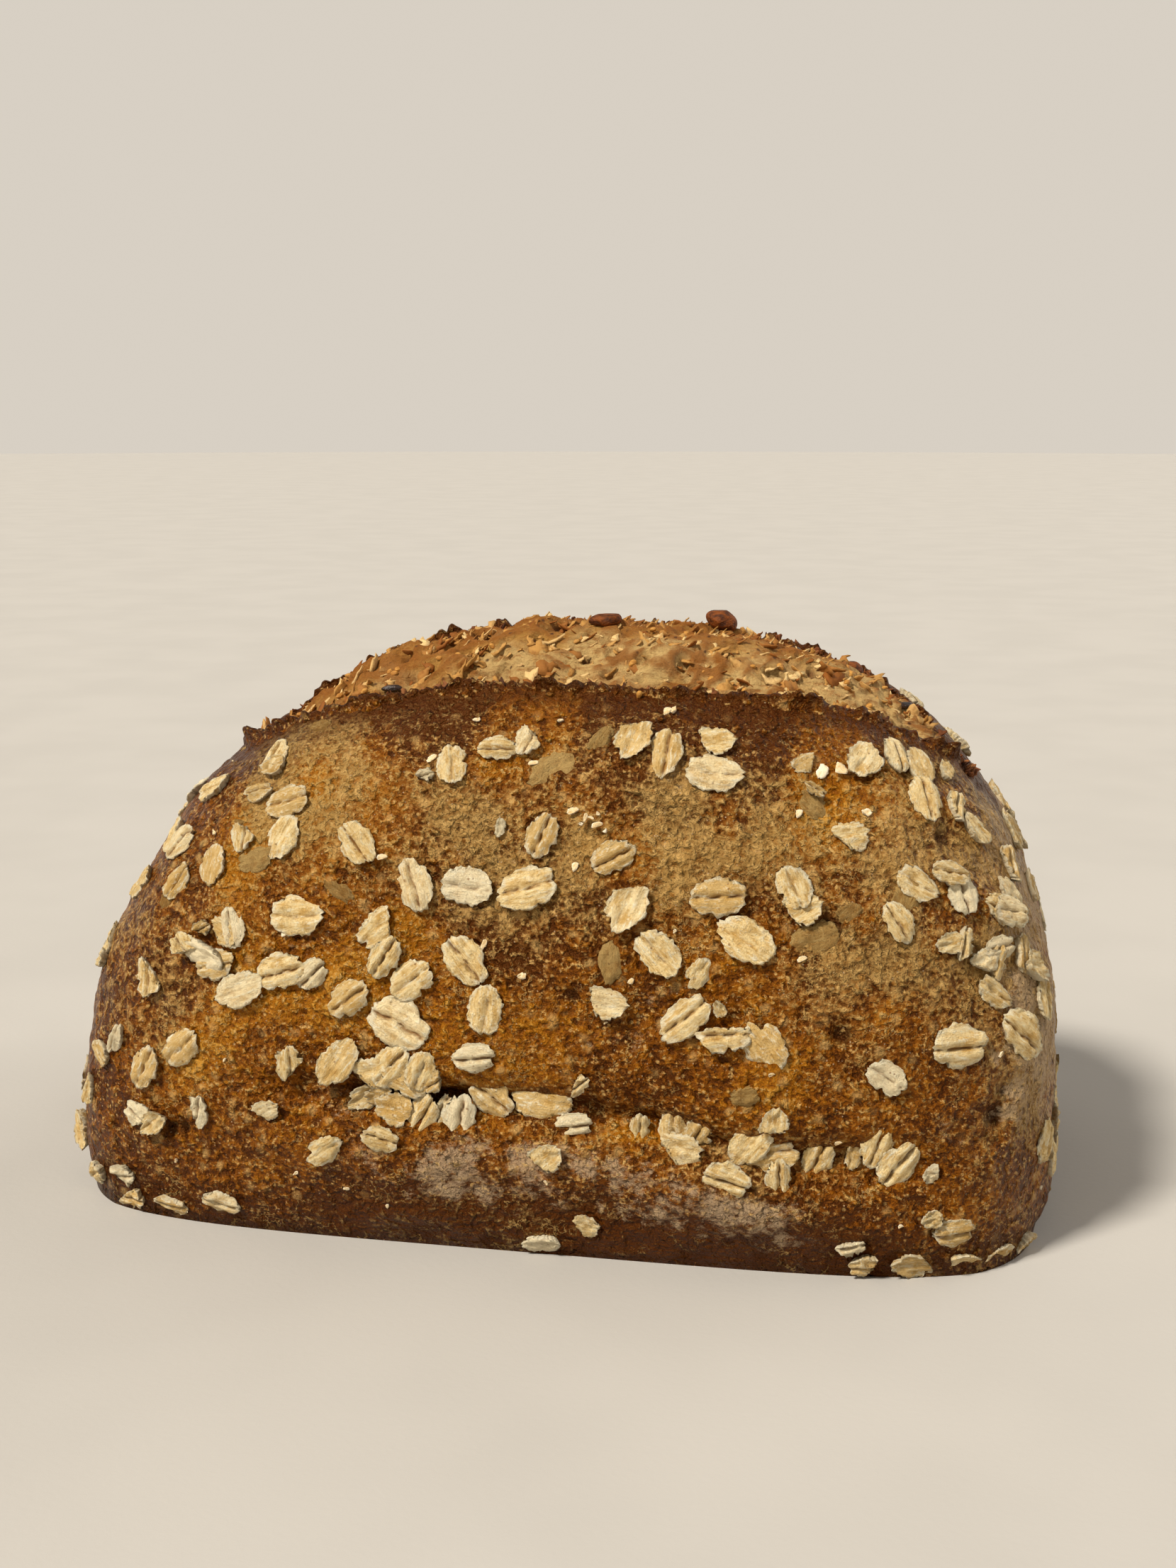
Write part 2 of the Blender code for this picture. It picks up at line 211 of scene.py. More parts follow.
@dataclass
class LoafForm:
    """The loaf's core form and relief, as plan sections stacked from the base to the crest."""

    half_length: float = 97.0
    half_depth: float = 55.0
    height: float = 110.0
    foot_height: float = 12.0
    foot_inset: float = 4.0
    base_squareness: float = 4.5
    crest_squareness: float = 2.8
    dome_power: float = 2.3
    left_fullness: float = 2.1
    right_fullness: float = 2.7
    crest_lean: float = 4.5
    centre: tuple[float, float, float] = (0.0, 0.0, 42.0)
    lump_size: float = 30.0
    lump_depth: float = 1.5
    fold_level: float = 29.0
    fold_drop: float = 7.0
    fold_depth: float = 2.6
    fold_width: float = 3.4
    roll_height: float = 1.6
    ear_centre: float = 6.0
    ear_half_length: float = 74.0
    ear_reach: float = 27.0
    ear_left: float = 4.0
    ear_right: float = 2.6
    back_centre: float = 18.0
    back_half_length: float = 66.0
    back_reach: float = 15.0
    tear_depth: float = 1.8
    crumb_swell: float = 2.2
    crumb_roughness: float = 1.7

    def section(self, up: np.ndarray, right: np.ndarray) -> tuple[np.ndarray, ...]:
        """Give the plan section at some heights.

        Args:
            up: Heights above the base.
            right: Whether each place lies toward the right end.

        Returns:
            Half length, half depth and squareness at each height.
        """
        sunk = np.clip((self.foot_height - up) / self.foot_height, 0.0, 1.0)
        inset = self.foot_inset * (1.0 - np.sqrt(1.0 - sunk * sunk))
        rise = np.clip((up - self.foot_height) / (self.height - self.foot_height), 0.0, 1.0)
        left = 1.0 - rise**self.dome_power
        fullness = np.where(right, self.right_fullness, self.left_fullness)
        mean = 0.5 * (self.left_fullness + self.right_fullness)
        low = up < self.foot_height
        length = np.where(low, self.half_length - inset, self.half_length * left ** (1.0 / fullness))
        depth = np.where(low, self.half_depth - inset, self.half_depth * left ** (1.0 / mean))
        square = self.base_squareness + (self.crest_squareness - self.base_squareness) * rise
        return length, depth, np.where(low, self.base_squareness, square)

    def lean(self, up: np.ndarray) -> np.ndarray:
        """Sideways shift of the plan section at some heights."""
        return self.crest_lean * np.maximum(0.0, up - self.foot_height) / (self.height - self.foot_height)

    def fill(self, points: np.ndarray) -> np.ndarray:
        """Value that is 1 on the core surface and less inside it."""
        along, across, up = points[..., 0], points[..., 1], points[..., 2]
        shift = along - self.lean(up)
        length, depth, square = self.section(up, shift > 0.0)
        with np.errstate(over="ignore"):
            value = (np.abs(shift) / np.maximum(length, 1e-6)) ** square
            value = value + (np.abs(across) / np.maximum(depth, 1e-6)) ** square
        return np.where((up < 0.0) | (up >= self.height), 9.0, np.minimum(value, 9.0))

    def march(self, start: np.ndarray, end: np.ndarray) -> np.ndarray:
        """Find the core surface between points inside and points outside.

        Args:
            start: Points inside the core.
            end: Points outside the core.

        Returns:
            The surface points between them.
        """
        inside, outside = np.array(start, float), np.array(end, float)
        for _ in range(34):
            middle = 0.5 * (inside + outside)
            held = (self.fill(middle) <= 1.0)[..., None]
            inside = np.where(held, middle, inside)
            outside = np.where(held, outside, middle)
        return 0.5 * (inside + outside)

    def on_side(self, along: float, up: float, side: Side) -> np.ndarray:
        """Core surface point at a place on one side: along (or across, on an end) and up."""
        if side in (Side.FRONT, Side.BACK):
            out = -90.0 if side is Side.FRONT else 90.0
            return self.march(np.array((along, 0.0, up)), np.array((along, out, up)))
        out = -130.0 if side is Side.LEFT else 130.0
        middle = float(self.lean(np.float64(up)))
        return self.march(np.array((middle, along, up)), np.array((out, along, up)))

    def on_top(self, along: np.ndarray, across: np.ndarray) -> np.ndarray:
        """Core surface points straight above places in the plan."""
        low = np.stack((along, across, np.full_like(along, 30.0)), axis=-1)
        high = low + np.array((0.0, 0.0, 100.0))
        return self.march(low, high)

    def top_point(self, along: float, across: float) -> np.ndarray:
        """Core surface point straight above one place in the plan."""
        return self.on_top(np.array((along,)), np.array((across,)))[0]

    def outward(self, points: np.ndarray) -> np.ndarray:
        """Unit outward direction of the core surface at some points."""
        step = 0.4
        slope = np.stack(
            [self.fill(points + step * axis) - self.fill(points - step * axis) for axis in np.eye(3)],
            axis=-1,
        )
        flat = (points[..., 2] > self.height - 1.0) | (np.linalg.norm(slope, axis=-1) < 1e-9)
        return np.where(flat[..., None], np.array((0.0, 0.0, 1.0)), unit(slope))

    def edge_line(self, along: np.ndarray, edge: TornEdge) -> np.ndarray:
        """Place across of one edge of the opening."""
        if edge is TornEdge.EAR:
            part = np.minimum(np.abs((along - self.ear_centre) / self.ear_half_length), 1.0)
            bluntness = np.where(along < self.ear_centre, self.ear_left, self.ear_right)
            return -self.ear_reach * (1.0 - part**bluntness) ** 0.45
        part = (along - self.back_centre) / self.back_half_length
        return self.back_reach * (1.0 - part * part)

    def opening(self, points: np.ndarray) -> np.ndarray:
        """Distance inside the torn opening, negative outside it."""
        along, across = points[..., 0], points[..., 1]
        past = np.abs(along - self.ear_centre) - self.ear_half_length
        inner = np.minimum(
            across - self.edge_line(along, TornEdge.EAR), self.edge_line(along, TornEdge.BACK) - across
        )
        value = np.where(past >= 0.0, -np.abs(past), inner)
        return np.where(points[..., 2] < 60.0, -40.0, value)

    def below_fold(self, points: np.ndarray) -> tuple[np.ndarray, np.ndarray]:
        """Locate points against the crease that the rolled dough left on the front.

        Args:
            points: Surface points in millimetres.

        Returns:
            Depth below the crease, and how strong the crease is there.
        """
        level = self.fold_level - self.fold_drop * smooth(8.0, 52.0, points[..., 0])
        span = smooth(-60.0, -34.0, points[..., 0]) * smooth(84.0, 60.0, points[..., 0])
        front = (points[..., 1] < -20.0) & (points[..., 2] < 60.0)
        return level - points[..., 2], np.where(front, span, 0.0)

    def relief(self, points: np.ndarray) -> np.ndarray:
        """Height of the baked surface over the core at surface points."""
        lumps = ripple(points, self.lump_size) + 0.45 * ripple(points, 0.4 * self.lump_size)
        height = self.lump_depth * lumps * smooth(0.0, 8.0, points[..., 2])
        below, span = self.below_fold(points)
        height = height - span * self.fold_depth * bell(below, 0.0, self.fold_width)
        height = height + span * self.roll_height * bell(below, 10.0, 6.0)
        depth = self.opening(points)
        inner = smooth(-1.0, 3.0, depth)
        swell = self.crumb_swell * smooth(2.0, 16.0, depth) - self.tear_depth
        crumb = self.crumb_roughness * (ripple(points, 11.0) + 0.6 * ripple(points, 6.0))
        return height * (1.0 - inner) + inner * (swell + crumb + 0.5 * height)

    def baked(self, points: np.ndarray) -> np.ndarray:
        """Core surface points moved out onto the baked surface."""
        return points + self.outward(points) * self.relief(points)[..., None]


class Shader:
    """A small builder for one procedural material that reads Object coordinates in millimetres."""

    def __init__(self, name: str) -> None:
        """Start a material with a Principled surface."""
        self.material = bpy.data.materials.new(name)
        self.material.use_nodes = True
        self.tree = self.material.node_tree
        self.surface = self.tree.nodes["Principled BSDF"]
        coords = self.tree.nodes.new("ShaderNodeTexCoord")
        scaled = self.tree.nodes.new("ShaderNodeMapping")
        scaled.inputs["Scale"].default_value = (1.0 / MM,) * 3
        self.tree.links.new(coords.outputs["Object"], scaled.inputs["Vector"])
        self.place = scaled.outputs["Vector"]

    def node(self, kind: str, **settings: object) -> bpy.types.Node:
        """Add one node with the given properties."""
        made = self.tree.nodes.new(kind)
        for key, value in settings.items():
            setattr(made, key, value)
        return made

    def feed(self, socket: bpy.types.NodeSocket, value: object) -> None:
        """Link an output into a socket, or set the socket's value."""
        if isinstance(value, bpy.types.NodeSocket):
            self.tree.links.new(value, socket)
        elif isinstance(value, tuple) and socket.type == "RGBA":
            socket.default_value = (*value, 1.0)
        else:
            socket.default_value = value

    def stretched(self, scale: Colour, turn: Colour = (0.0, 0.0, 0.0), source: object = None) -> object:
        """Place coordinates stretched and turned before a pattern reads them."""
        made = self.node("ShaderNodeMapping")
        made.inputs["Scale"].default_value = scale
        made.inputs["Rotation"].default_value = turn
        self.feed(made.inputs["Vector"], source or self.place)
        return made.outputs["Vector"]

    def speckle(self, size: float, detail: float = 3.0, rough: float = 0.55, place: object = None) -> object:
        """Soft noise whose swells are a given number of millimetres wide."""
        made = self.node("ShaderNodeTexNoise")
        made.inputs["Scale"].default_value = 1.0 / size
        made.inputs["Detail"].default_value = detail
        made.inputs["Roughness"].default_value = rough
        self.feed(made.inputs["Vector"], place or self.place)
        return made.outputs["Fac"]

    def cells(self, size: float, place: object = None) -> tuple[object, object]:
        """Cell pattern: distance from each cell's middle, and a random colour for each cell."""
        made = self.node("ShaderNodeTexVoronoi")
        made.inputs["Scale"].default_value = 1.0 / size
        self.feed(made.inputs["Vector"], place or self.place)
        return made.outputs["Distance"], made.outputs["Color"]

    def mark(self, name: str, output: str = "Fac") -> object:
        """Read one of the mesh's own named values."""
        return self.node("ShaderNodeAttribute", attribute_name=name).outputs[output]

    def band(self, value: object, low: float, high: float, top: float = 1.0) -> object:
        """Smooth ramp from 0 at low to top at high."""
        made = self.node("ShaderNodeMapRange", interpolation_type="SMOOTHSTEP")
        self.feed(made.inputs["Value"], value)
        for label, number in (("From Min", low), ("From Max", high), ("To Min", 0.0), ("To Max", top)):
            made.inputs[label].default_value = number
        return made.outputs["Result"]

    def ramp(self, value: object, stops: Sequence[tuple[float, Colour]]) -> object:
        """Run through several colours as a value rises.

        Args:
            value: What the colours follow.
            stops: The value and the colour of each stop, lowest first.

        Returns:
            The colour output.
        """
        colour: object = stops[0][1]
        for (low, _), (high, over) in zip(stops, stops[1:]):
            colour = self.blend(self.band(value, low, high), colour, over)
        return colour

    def specks(
        self, cells: tuple[object, object], edge: tuple, chosen: tuple, which: str = "Red"
    ) -> object:
        """Round specks in some cells of a cell pattern.

        Args:
            cells: Distance and random colour, as cells gives them.
            edge: Distance where a speck ends, distance where it is full, and its strength.
            chosen: Random value above which a cell has some of a speck, and above which all of it.
            which: Channel of the random colour that chooses.

        Returns:
            How strong the speck is at each place.
        """
        distance, tint = cells
        return self.times(self.band(distance, *edge), self.band(self.channel(tint, which), *chosen))

    def sum(self, first: object, second: object, how: str = "ADD") -> object:
        """Combine two values by one operation."""
        made = self.node("ShaderNodeMath", operation=how)
        self.feed(made.inputs[0], first)
        self.feed(made.inputs[1], second)
        return made.outputs[0]

    def times(self, first: object, second: object) -> object:
        """Multiply two values."""
        return self.sum(first, second, "MULTIPLY")

    def gather(self, start: object, *parts: tuple[object, object]) -> object:
        """Add several values to a start, each by its own weight."""
        for value, weight in parts:
            start = self.sum(start, self.times(value, weight))
        return start

    def swing(self, value: object, *patterns: tuple[object, float]) -> object:
        """Let a value rise and fall with patterns of 0 to 1, each about its middle."""
        for pattern, reach in patterns:
            value = self.sum(value, self.times(self.sum(pattern, MIDDLE, "SUBTRACT"), reach))
        return value

    def blend(self, amount: object, base: object, over: object) -> object:
        """Lay one colour over another by an amount."""
        made = self.node("ShaderNodeMix", data_type="RGBA")
        self.feed(made.inputs["Factor"], amount)
        self.feed(made.inputs[6], base)
        self.feed(made.inputs[7], over)
        return made.outputs[2]

    def coats(self, colour: object, *layers: tuple[object, object]) -> object:
        """Lay several colours over one another, each by its own amount."""
        for amount, over in layers:
            colour = self.blend(amount, colour, over)
        return colour

    def channel(self, colour: object, which: str = "Red") -> object:
        """One channel of a colour."""
        made = self.node("ShaderNodeSeparateColor")
        self.feed(made.inputs["Color"], colour)
        return made.outputs[which]

    def bump(self, height: object, reach: float, under: object = None) -> object:
        """Bump from a height of 0 to 1 that stands for a number of millimetres."""
        made = self.node("ShaderNodeBump")
        made.inputs["Strength"].default_value = 1.0
        made.inputs["Distance"].default_value = reach * MM
        self.feed(made.inputs["Height"], height)
        if under is not None:
            self.feed(made.inputs["Normal"], under)
        return made.outputs["Normal"]

    def bumps(self, *heights: tuple[object, float]) -> object:
        """Stack bumps, each a height and the millimetres it stands for."""
        normal = None
        for height, reach in heights:
            normal = self.bump(height, reach, normal)
        return normal

    def finish(
        self, colour: object, rough: object, normal: object, **sockets: object
    ) -> bpy.types.Material:
        """Feed the surface and give the material."""
        self.feed(self.surface.inputs["Base Color"], colour)
        self.feed(self.surface.inputs["Roughness"], rough)
        self.feed(self.surface.inputs["Normal"], normal)
        for label, value in sockets.items():
            self.surface.inputs[label.replace("_", " ")].default_value = value
        return self.material


@dataclass(frozen=True)
class CrustFinish:
    """Colours of the baked crust, from burnt to floured."""

    burnt: Colour = (0.028, 0.0065, 0.002)
    deep: Colour = (0.055, 0.0115, 0.0008)
    brown: Colour = (0.172, 0.049, 0.002)
    rust: Colour = (0.292, 0.103, 0.004)
    golden: Colour = (0.480, 0.232, 0.032)
    haze_and_highlight: Colour = (0.385, 0.248, 0.088)
    dull: Colour = (0.238, 0.136, 0.038)
    grain: Colour = (0.520, 0.325, 0.115)
    bran: Colour = (0.030, 0.010, 0.004)
    flour: Colour = (0.440, 0.325, 0.205)
    sheen: tuple[float, float, float, float] = (1.0, 0.50, 0.15, 1.0)
    lightness: float = 0.13

    def material(self, name: str, singe: float = 0.0) -> bpy.types.Material:
        """Build the crust material.

        Args:
            name: Name of the material.
            singe: Burn that is added everywhere, for the lips.

        Returns:
            The material.
        """
        shade = Shader(name)
        wide = shade.speckle(24.0, 3.0, 0.5)
        mottle = shade.speckle(7.5, 6.0, 0.56)
        smudge = shade.speckle(3.0, 5.0, 0.56)
        broad = shade.speckle(7.5, 2.0, 0.5)
        lumps = shade.sum(shade.speckle(2.2, 2.5, 0.5), MIDDLE, "SUBTRACT")
        beads = shade.sum(shade.speckle(1.0, 2.0, 0.45), MIDDLE, "SUBTRACT")
        relief = shade.sum(shade.times(lumps, 0.8), shade.times(beads, 0.9))
        grit = shade.band(shade.speckle(1.7, 4.0, 0.56), 0.30, 0.70)
        fine = shade.speckle(0.75, 4.0, 0.60)
        peaks = shade.sum(shade.band(fine, 0.46, 0.70), 0.30, "SUBTRACT")
        streaks = shade.speckle(1.25, 5.0, 0.62, shade.stretched((0.60, 1.0, 1.15), SLOPE))
        bubbles = shade.cells(1.5, shade.stretched((0.75, 1.0, 1.1), SLOPE))
        dome = shade.specks(bubbles, (0.60, 0.12), (0.15, 0.85))
        pebbled = shade.times(dome, shade.band(shade.speckle(13.0, 4.0), 0.36, 0.62))
        lit = shade.band(shade.mark("shade"), 1.1, 0.3)
        level = shade.gather(
            self.lightness,
            (wide, 0.80),
            (mottle, 0.60),
            (relief, 1.0),
            (smudge, 0.50),
            (peaks, shade.sum(0.12, shade.times(lit, 0.30))),
            (pebbled, 0.42),
            # Painted shade darkens the crust; the painted highlight and the golden patches lighten it.
            (shade.mark("shade"), -0.66),
            (shade.mark("highlight_and_gold"), 0.60),
        )
        level = shade.swing(level, (grit, 0.30), (streaks, 0.60))
        colour = shade.ramp(
            level, ((0.74, self.deep), (1.08, self.brown), (1.40, self.rust), (1.86, self.golden))
        )
        # The haze veil, which also carries the painted highlight at the upper left.
        veil = shade.gather(shade.mark("haze_and_highlight"), (relief, 1.0), (peaks, 0.35))
        veil = shade.swing(veil, (smudge, 0.90), (grit, 0.25), (streaks, 0.60))
        pale = shade.gather(shade.times(streaks, 0.5), (fine, 0.5), (relief, 0.4))
        veiled = shade.blend(shade.band(pale, 0.34, 0.66), self.dull, self.haze_and_highlight)
        spot, spot_tint = shade.cells(3.2)
        spots = shade.specks((shade.swing(spot, (fine, 0.7)), spot_tint), (0.42, 0.10, 0.60), (0.50, 0.90))
        spots = shade.times(spots, lit)
        dots = shade.cells(1.2)
        dotted = shade.times(shade.specks(dots, (0.40, 0.12, 0.80), (0.55, 0.95)), lit)
        husks = shade.specks(dots, (0.36, 0.14, 0.60), (0.86, 0.96), "Green")
        crystals = shade.specks(shade.cells(0.55), (0.36, 0.14, 0.75), (0.91, 0.96), "Blue")
        wander = shade.sum(shade.sum(shade.speckle(5.5, 4.0, 0.6), MIDDLE, "SUBTRACT"), 0.0, "ABSOLUTE")
        wrinkled = shade.band(shade.speckle(8.0, 3.0), 0.50, 0.62)
        wrinkle = shade.times(shade.band(wander, 0.016, 0.003, 0.6), wrinkled)
        char = shade.sum(shade.swing(shade.mark("burn"), (mottle, 0.80), (grit, 0.22)), singe)
        dust = shade.speckle(0.75, 7.0, 0.82, shade.stretched((0.60, 1.0, 1.1), SLOPE))
        dusted = shade.gather(shade.times(dust, 0.9), (shade.mark("flour"), 0.55))
        flour = shade.band(shade.swing(dusted, (smudge, 0.90)), 0.74, 0.98, 0.66)
        glint = shade.times(shade.band(streaks, 0.51, 0.63, 0.85), shade.band(fine, 0.50, 0.60))
        colour = shade.coats(
            colour,
            (shade.band(veil, 0.28, 1.0, 0.85), veiled),
            (spots, self.grain),
            (dotted, self.grain),
            (wrinkle, self.grain),
            (shade.band(smudge, 0.38, 0.22, 0.4), self.brown),
            (husks, self.bran),
            (shade.band(char, 0.15, 0.80, 0.85), self.deep),
            (shade.band(char, 0.72, 1.2, 0.9), self.burnt),
            (shade.band(shade.mark("pit"), 0.15, 0.8, 0.9), self.burnt),
            (flour, self.flour),
            (shade.times(crystals, lit), self.flour),
            (shade.times(glint, lit), self.grain),
        )
        rough = shade.gather(0.25, (fine, 0.2), (flour, 0.4))
        normal = shade.bumps(
            (broad, 2.2),
            (lumps, 1.9),
            (beads, 0.95),
            (smudge, 0.5),
            (streaks, 0.5),
            (grit, 0.26),
            (pebbled, 0.55),
            (fine, 0.35),
            (spots, 0.35),
            (wrinkle, 0.3),
        )
        return shade.finish(colour, rough, normal, Specular_IOR_Level=0.36, Specular_Tint=self.sheen)


@dataclass(frozen=True)
class CrumbFinish:
    """Colours of the torn crumb, from the painted shade in its pockets to its toasted ridges."""

    painted_pocket_shade: Colour = (0.16, 0.055, 0.012)
    crumb: Colour = (0.49, 0.255, 0.055)
    pale: Colour = (0.68, 0.46, 0.180)
    toasted: Colour = (0.30, 0.098, 0.009)
    bran: Colour = (0.06, 0.020, 0.008)

    def material(self, name: str) -> bpy.types.Material:
        """Build the crumb material."""
        shade = Shader(name)
        bake, peak = shade.mark("bake"), shade.mark("peak")
        strands = shade.speckle(1.5, 7.0, 0.68, shade.stretched((0.30, 1.0, 1.0), (0.0, 0.0, -0.45)))
        patches = shade.speckle(9.0, 5.0, 0.6)
        fine = shade.speckle(0.6, 5.0, 0.7)
        colour = shade.coats(
            self.crumb,
            (shade.band(shade.gather(patches, (bake, -0.30)), 0.22, 0.50), self.pale),
            (shade.band(shade.gather(patches, (bake, 0.28)), 0.56, 0.86, 0.8), self.toasted),
            (shade.band(strands, 0.50, 0.30, 0.85), self.toasted),
            (shade.band(strands, 0.56, 0.74, 0.6), self.pale),
            (shade.band(shade.swing(peak, (patches, -2.4)), 0.55, 1.5, 0.85), self.toasted),
            # Painted shade in the deepest pockets between the strands.
            (shade.band(peak, -0.4, -1.3, 0.8), self.painted_pocket_shade),
            (shade.band(shade.mark("singe"), 0.1, 1.0, 0.9), self.toasted),
            (shade.specks(shade.cells(1.6), (0.36, 0.12, 0.9), (0.84, 0.94)), self.bran),
            (shade.band(fine, 0.56, 0.30, 0.4), self.toasted),
        )
        normal = shade.bumps((strands, 1.3), (fine, 0.5))
        return shade.finish(colour, shade.gather(0.62, (fine, 0.3)), normal, Specular_IOR_Level=0.25)


@dataclass(frozen=True)
class FlakeFinish:
    """Colours of an oat flake, from its crease to its frayed rim."""

    cream: Colour = (0.96, 0.74, 0.37)
    golden: Colour = (0.64, 0.37, 0.090)
    rim: Colour = (0.99, 0.90, 0.66)
    crease: Colour = (0.28, 0.105, 0.014)
    relief: float = 1.0

    def material(self, name: str) -> bpy.types.Material:
        """Build the flake material, whose striations follow each flake's own length."""
        shade = Shader(name)
        tone = shade.mark("tone")
        offset = shade.node("ShaderNodeCombineXYZ")
        shade.feed(offset.inputs[2], shade.times(tone, 90.0))
        shifted = shade.node("ShaderNodeVectorMath", operation="ADD")
        shade.feed(shifted.inputs[0], shade.mark("lay", "Vector"))
        shade.feed(shifted.inputs[1], offset.outputs[0])
        own = shifted.outputs[0]
        lines = shade.speckle(0.62, 6.0, 0.7, shade.stretched((0.22, 1.0, 1.0), source=own))
        patch = shade.speckle(2.4, 5.0, 0.6, own)
        fine = shade.speckle(0.30, 4.0, 0.65, own)
        scale = shade.speckle(1.1, 5.0, 0.7, own)
        rim = shade.swing(shade.mark("rim"), (lines, 0.9), (patch, 1.2))
        colour = shade.coats(
            self.cream,
            (shade.band(patch, 0.46, 0.66, 0.75), self.golden),
            (shade.band(tone, 0.45, 1.0, 0.60), self.golden),
            # Striations and scales darken toward golden and the crease colour where they are low, and
            # lighten toward the rim colour where they are raised. This is partly their own colour and partly
            # painted shade and painted highlight.
            (shade.band(lines, 0.52, 0.34, 0.80), self.golden),
            (shade.band(lines, 0.40, 0.26, 0.60), self.crease),
            (shade.band(lines, 0.53, 0.66, 0.85), self.rim),
            (shade.band(scale, 0.56, 0.66, 0.60), self.rim),
            (shade.band(scale, 0.44, 0.34, 0.50), self.golden),
            (shade.band(rim, 0.78, 1.10, 0.75), self.rim),
            (shade.band(shade.gather(tone, (patch, 0.3)), 0.42, 0.15, 0.60), self.rim),
            (shade.band(shade.mark("crease"), 0.05, 0.80, 0.90), self.crease),
            (shade.specks(shade.cells(0.8, own), (0.36, 0.12, 0.7), (0.90, 0.97)), self.crease),
        )
        high, middling, low = (part * self.relief for part in (0.95, 0.70, 0.20))
        normal = shade.bumps((lines, high), (scale, middling), (fine, low))
        return shade.finish(colour, shade.gather(0.55, (fine, 0.3)), normal, Specular_IOR_Level=0.3)


@dataclass(frozen=True)
class FlapFinish:
    """Colours of the torn flaps, which differ from one flap to the next."""

    mid: Colour = (0.47, 0.245, 0.062)
    dark: Colour = (0.24, 0.077, 0.009)
    light: Colour = (0.71, 0.50, 0.22)

    def material(self, name: str) -> bpy.types.Material:
        """Build the flap material."""
        shade = Shader(name)
        grain = shade.speckle(0.8, 5.0, 0.65)
        tone = shade.mark("tone")
        colour = shade.coats(
            self.mid,
            (shade.band(tone, 0.45, 0.10), self.dark),
            (shade.band(tone, 0.60, 0.95), self.light),
            (shade.band(grain, 0.52, 0.30, 0.6), self.dark),
        )
        rough = shade.gather(0.6, (grain, 0.3))
        return shade.finish(colour, rough, shade.bump(grain, 0.2), Specular_IOR_Level=0.25)


@dataclass(frozen=True)
class KernelFinish:
    """Colours of one kind of kernel."""

    skin: Colour
    dark: Colour
    gloss: float
    shine: float = 0.2

    def material(self, name: str) -> bpy.types.Material:
        """Build the kernel material with its lengthwise streaks."""
        shade = Shader(name)
        streaks = shade.speckle(0.9, 4.0, 0.6, shade.stretched((0.4, 1.0, 1.0)))
        fine = shade.speckle(0.3, 3.0)
        colour = shade.blend(shade.band(streaks, 0.36, 0.62), self.dark, self.skin)
        normal = shade.bumps((streaks, 0.5), (fine, 0.15))
        rough = shade.gather(self.gloss, (fine, 0.25))
        return shade.finish(colour, rough, normal, Specular_IOR_Level=self.shine)


